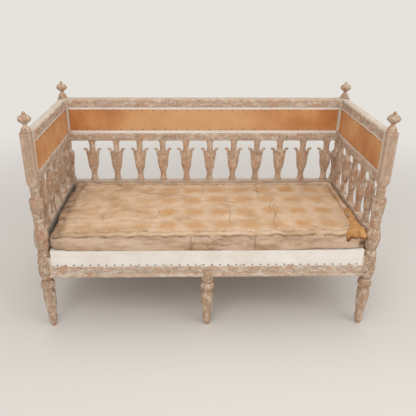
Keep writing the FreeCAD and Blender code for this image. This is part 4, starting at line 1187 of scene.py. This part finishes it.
def squab_side(place, up, along, in_front, patchy):
    """How far a side is pulled in at a point, and how dark it is painted: browned seams along its top and bottom edges
    and browned creases in the mended patch at the front, and painted shade in the hollow pushed in below the torn
    corner."""
    x, y, z = place
    ripple = 0.07 * uneven((along * 0.02, 5.0, 0.0)) + 0.04 * uneven((along * 0.09, 2.0, 0.0))
    upper = peak(up - 0.88 - ripple, 0.045)
    lower = peak(up - 0.10 - ripple, 0.05)
    crease = patch_edge = torn = 0.0
    if in_front:
        patched = blend_in(min(x - PATCH_LEFT, PATCH_RIGHT - x), 0.0, 8.0)
        fold = uneven((x * 0.011, 5.0 * up + 0.4 * uneven((x * 0.04, up, 3.0)), 31.0))
        crease = patched * peak(fold, 0.05) * blend_in(min(up, 1 - up), 0.08, 0.2)
        patch_edge = peak(min(abs(x - PATCH_LEFT), abs(x - PATCH_RIGHT)), 3.0)
    # Hollow pushed in below the torn corner, beside the front right post, painted dark brown: painted shade.
    if y < 0:
        torn = blend_in(x, TORN_LEFT, TORN_LEFT + 26.0) * peak(up - 0.38, 0.24) * blend_in(-250.0 - y, 0.0, 25.0)
    bulge = 2.5 * uneven((along * 0.012, up * 2.2, 17.0)) + 1.6 * uneven((x, y, z), 0.03)
    pull = 4.0 * upper + 2.5 * lower + 2.0 * crease + 2.0 * patch_edge + 9.0 * torn + bulge
    return pull, max(upper * (0.50 + 0.5 * patchy), lower * (0.40 + 0.45 * patchy), 0.45 * crease, 0.5 * patch_edge,
                     0.95 * torn)


def squab_point(place):
    """Where a point of the swollen squab ends up, how dark the sacking is painted there (browned by wear, with painted
    shade at the left end and below the torn corner), and how far it is on a side.
    """
    x, y, z = place
    from_x = min(x - CUSHION_LEFT, CUSHION_RIGHT - x)
    from_y = min(y - CUSHION_FRONT, CUSHION_BACK - y)
    inset = min(from_x, from_y)
    at_end = from_x < from_y
    along = y if at_end else x
    in_front = y < 0 and from_y < from_x
    up = (z - CUSHION_BOTTOM) / CUSHION_EDGE
    on_top = blend_in(up, 0.70, 0.97)
    side = blend_in(16.0 - inset, 0.0, 10.0)
    patchy = 0.6 + 0.8 * uneven((along * 0.035, 1.0, 8.0))
    rise, top_wear = squab_top(x, y, inset, along, at_end, patchy)
    heave = EDGE_HEAVE * uneven((along * 0.019, 41.0, 0.0))
    z += on_top * rise + heave * blend_in(up, 0.3, 0.8) * blend_in(60.0 - inset, 0.0, 40.0)
    pull, side_wear_and_shade = squab_side((x, y, z), up, along, in_front, patchy)
    pull *= side
    # Darker along the left end's roll: partly soiling, partly painted shade of its sloping side.
    soiled_and_shaded = blend_in(CUSHION_LEFT + 70.0 - x, 0.0, 50.0) * (0.65 + 0.6 * uneven((x, y, 40.0), 0.03))
    darkening = max(side * side_wear_and_shade, on_top * top_wear) + 0.68 * soiled_and_shaded + 0.10 * blend_in(30.0 - inset, 0.0, 30.0)
    bowed = LEFT_BOW * blend_in(-x, 600.0, 670.0) * blend_in(200.0 - abs(y), 0.0, 110.0)
    if at_end:
        x += math.copysign(pull, (CUSHION_LEFT + CUSHION_RIGHT) / 2 - x)
        if x < 0 and up > 0.5:
            x -= LEFT_FULL * inset * blend_in(25.0 - inset, 0.0, 25.0)
    else:
        y += math.copysign(pull, (CUSHION_FRONT + CUSHION_BACK) / 2 - y)

    # Pressed in where a post stands, and lapped over the calico along the front
    beside = abs(y - math.copysign(POST_Y, y))
    room = POST_X - math.sqrt(max(POST_ROOM ** 2 - beside ** 2, 0.0))
    x = min(max(x, CUSHION_LEFT, -room), CUSHION_RIGHT, room) - bowed
    y = min(max(y, CUSHION_FRONT), CUSHION_BACK)
    z = max(z, CUSHION_BOTTOM)
    if in_front:
        lapped = blend_in(16.0 - inset, 0.0, 12.0) * blend_in(min(CUSHION_RIGHT - x, x - CUSHION_LEFT), 5.0, 110.0)
        y -= FRONT_LAP * lapped * blend_in(0.75 - up, 0.0, 0.5)
        sag = FRONT_DROOP + LEFT_SAG * blend_in(600.0 - x, 0.0, 450.0)
        z -= sag * lapped * blend_in(0.45 - up, 0.0, 0.45)
    return Vector((x, y, z)), min(max(darkening, 0.0), 1.0), side * (1 - on_top) * (1.0 if in_front else 0.4)


def loose_threads(skin):
    """Ends of old tufting and stitching thread that lie on the squab."""
    bm = bmesh.new()
    stitches = []
    for row, inward in ((CUSHION_FRONT, 1), (CUSHION_BACK, -1)):
        y = row + inward * CUSHION_SEAM
        for number in range(int((CUSHION_RIGHT - CUSHION_LEFT) / STITCH_PITCH) - 2):
            x = CUSHION_LEFT + (number + 1.5) * STITCH_PITCH + 9.0 * math.sin(7.3 * number + row)
            stitches.append([(x, y), (x + 7.0 + 6.0 * math.sin(3.1 * number), y + 3.0 * math.cos(5.0 * number))])
    for number, points in enumerate(THREADS + stitches):
        path = []
        for (x0, y0), (x1, y1) in zip(points, points[1:]):
            swing = 0.11 * math.hypot(x1 - x0, y1 - y0) + 1.0
            for index in range(THREAD_STEPS + 1):
                share = index / THREAD_STEPS
                x = x0 + share * (x1 - x0) + swing * uneven((number + 0.5, share * 4.0, 1.0))
                y = y0 + share * (y1 - y0) + swing * uneven((number + 0.5, share * 4.0, 9.0))
                place, normal, face, far = skin.ray_cast(Vector((x, y, 600.0)), Vector((0, 0, -1)))
                path.append(place + normal * 0.5)
        tube(bm, path, [THREAD_RADIUS] * len(path), 6)
    bmesh.ops.recalc_face_normals(bm, faces=bm.faces)
    piece("loose_threads", bm, THREAD, body="cushion", sharp=180.0)


def torn_edge(run):
    """Point on the squab's top edge and the way out of it, so far along the right side, the corner and the front."""
    middle = Vector((CUSHION_RIGHT - CUSHION_CORNER, CUSHION_FRONT + CUSHION_CORNER))
    turn = (run - TORN_SIDE) / CUSHION_CORNER
    if turn < 0:
        return Vector((CUSHION_RIGHT, middle.y + TORN_SIDE - run)), Vector((1.0, 0.0))
    if turn < math.pi / 2:
        out = Vector((math.cos(turn), -math.sin(turn)))
        return middle + CUSHION_CORNER * out, out
    past = run - TORN_SIDE - CUSHION_CORNER * math.pi / 2
    return Vector((middle.x - past, CUSHION_FRONT)), Vector((0.0, -1.0))


def torn_corner(skin):
    """Older linen laid bare over the squab's front right corner, with a frayed edge."""
    total = TORN_SIDE + CUSHION_CORNER * math.pi / 2 + TORN_FRONT
    top = CUSHION_BOTTOM + CUSHION_EDGE
    bm = bmesh.new()
    darkening = bm.verts.layers.float.new("darkening")
    bmesh.ops.create_grid(bm, x_segments=TORN_SEGMENTS[0], y_segments=TORN_SEGMENTS[1], size=0.5)
    for vert in bm.verts:
        u, v = vert.co.x + 0.5, vert.co.y + 0.5
        run = u * total
        edge, out = torn_edge(run)
        ragged = uneven((run * 0.05, 3.0, 0.0)) + 0.6 * uneven((run * 0.16, 7.0, 0.0))
        inner = 10.0 + 34.0 * blend_in(u, 0.0, 0.14) + 18.0 * blend_in(u, 0.14, 0.7) + 9.0 * ragged
        inner += 30.0 * blend_in(u, 0.62, 0.80) - 56.0 * blend_in(u, 0.88, 1.0)
        tatter = uneven((run * 0.045, 13.0, 0.0)) + 0.8 * uneven((run * 0.15, 17.0, 0.0))
        down = 13.0 + 7.0 * blend_in(u, 0.35, 0.75) + 13.0 * tatter
        reach = v * (inner + down) - inner
        # Laid on the skin from above it, or from beside it below the edge
        x, y = edge + out * (reach if reach < 0 else TORN_BESIDE)
        level = top + TORN_ABOVE if reach < 0 else top - reach
        place, normal, face, far = skin.find_nearest(Vector((x, y, level)))
        vert.co = place + normal * (TORN_LIFT + uneven((run * 0.03, v * 3.0, 5.0)))
        vert[darkening] = 0.85 * blend_in(v, 0.74 + 0.06 * tatter, 0.98) + 0.45 * blend_in(0.08 - v, 0.0, 0.08)
        vert[darkening] += 0.4 * blend_in(u, 0.86, 1.0)
    area = sum(face.calc_area() for face in bm.faces) * MM * MM
    for vert in thicken(bm):
        place, normal, face, far = skin.find_nearest(vert.co)
        vert.co = place + (vert.co - place) * 0.3
    bmesh.ops.recalc_face_normals(bm, faces=bm.faces)
    cloth = piece("torn_linen_corner", bm, TORN_LINEN, body="cushion", sharp=120.0)


# Studio

def seen(tree):
    """1 for the rays that show the backdrop: the camera's, and those that gloss or clear finishes pass on."""
    path = add(tree, "ShaderNodeLightPath").outputs
    shown = add(tree, "ShaderNodeMath", {0: path["Is Camera Ray"], 1: path["Is Glossy Ray"]}, operation="MAXIMUM")
    return add(tree, "ShaderNodeMath", {0: shown.outputs[0], 1: path["Is Transmission Ray"]},
               operation="MAXIMUM").outputs[0]


def backdrop():
    """Soft even light from all round, seen as a plain pale wall."""
    world = bpy.data.worlds.new("studio")
    world.use_nodes = True
    tree = world.node_tree
    shade = tree.nodes["Background"]
    shade.inputs["Color"].default_value = linear(ROOM_LIGHT)
    shade.inputs["Strength"].default_value = ROOM_STRENGTH
    wall = add(tree, "ShaderNodeBackground", {"Color": linear(BACKDROP), "Strength": 1.0})
    either = add(tree, "ShaderNodeMixShader", {0: seen(tree), 1: shade.outputs[0], 2: wall.outputs[0]})
    tree.links.new(either.outputs[0], tree.nodes["World Output"].inputs["Surface"])
    bpy.context.scene.world = world


def pale_floor():
    """Plain floor that takes the settee's shadow and fades into the wall."""
    bm = bmesh.new()
    bmesh.ops.create_grid(bm, x_segments=1, y_segments=1, size=FLOOR_SIZE)
    mesh = bpy.data.meshes.new("floor")
    bm.to_mesh(mesh)
    bm.free()
    material, tree, place = surface("pale_floor", {"Roughness": 0.9, "Base Color": linear("#D9D4CE")})
    away = add(tree, "ShaderNodeVectorMath", {0: place}, operation="LENGTH").outputs["Value"]
    far = add(tree, "ShaderNodeMapRange", {"Value": away, "From Min": FLOOR_NEAR, "From Max": FLOOR_FAR},
              interpolation_type="SMOOTHSTEP").outputs[0]
    faded = add(tree, "ShaderNodeMath", {0: far, 1: seen(tree)}, operation="MULTIPLY").outputs[0]
    wall = add(tree, "ShaderNodeEmission", {"Color": linear(BACKDROP), "Strength": 1.0})
    either = add(tree, "ShaderNodeMixShader",
                 {0: faded, 1: tree.nodes["Principled BSDF"].outputs[0], 2: wall.outputs[0]})
    tree.links.new(either.outputs[0], tree.nodes["Material Output"].inputs["Surface"])
    mesh.materials.append(material)
    floor = bpy.data.objects.new("floor", mesh)
    bpy.context.scene.collection.objects.link(floor)


def lamps():
    """Large soft lamps from the left, from the right and above."""
    for name, (place, size, power) in LAMPS.items():
        light = bpy.data.lights.new(name, "AREA")
        light.size = size
        light.energy = power
        lamp = bpy.data.objects.new(name, light)
        lamp.location = place
        lamp.rotation_euler = (LAMP_AIM - Vector(place)).to_track_quat("-Z", "Y").to_euler()
        bpy.context.scene.collection.objects.link(lamp)


def camera():
    """Camera at the photograph's view."""
    data = bpy.data.cameras.new("camera")
    data.sensor_width = CAMERA_SENSOR
    data.lens = CAMERA_LENS
    data.shift_x = CAMERA_SHIFT
    eye = bpy.data.objects.new("camera", data)
    yaw, pitch, roll = (math.radians(turn) for turn in (-CAMERA_YAW, 90 - CAMERA_PITCH, CAMERA_ROLL))
    eye.matrix_world = Matrix.Translation(CAMERA_PLACE) @ Matrix.Rotation(yaw, 4, "Z") @ Matrix.Rotation(
        pitch, 4, "X") @ Matrix.Rotation(roll, 4, "Z")
    bpy.context.scene.collection.objects.link(eye)
    bpy.context.scene.camera = eye


def dress_cad_nodes():
    """Materials of the rigid nodes that show as they are."""
    finishes = {"seat_cross_rail": PINE, "corner_blocks": PINE, "seat_tacks": IRON, "panel_tacks": IRON}
    for node, material in finishes.items():
        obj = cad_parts[node]
        obj.data.materials.clear()
        obj.data.materials.append(material)


bpy.context.scene.view_settings.view_transform = "Standard"
backdrop()
pale_floor()
lamps()
camera()
dress_cad_nodes()
corner_posts()
centre_legs()
balusters()
rails()
carved_bands()
panels()
seat_cover()
seat_stuffing()
webbing()
squab()
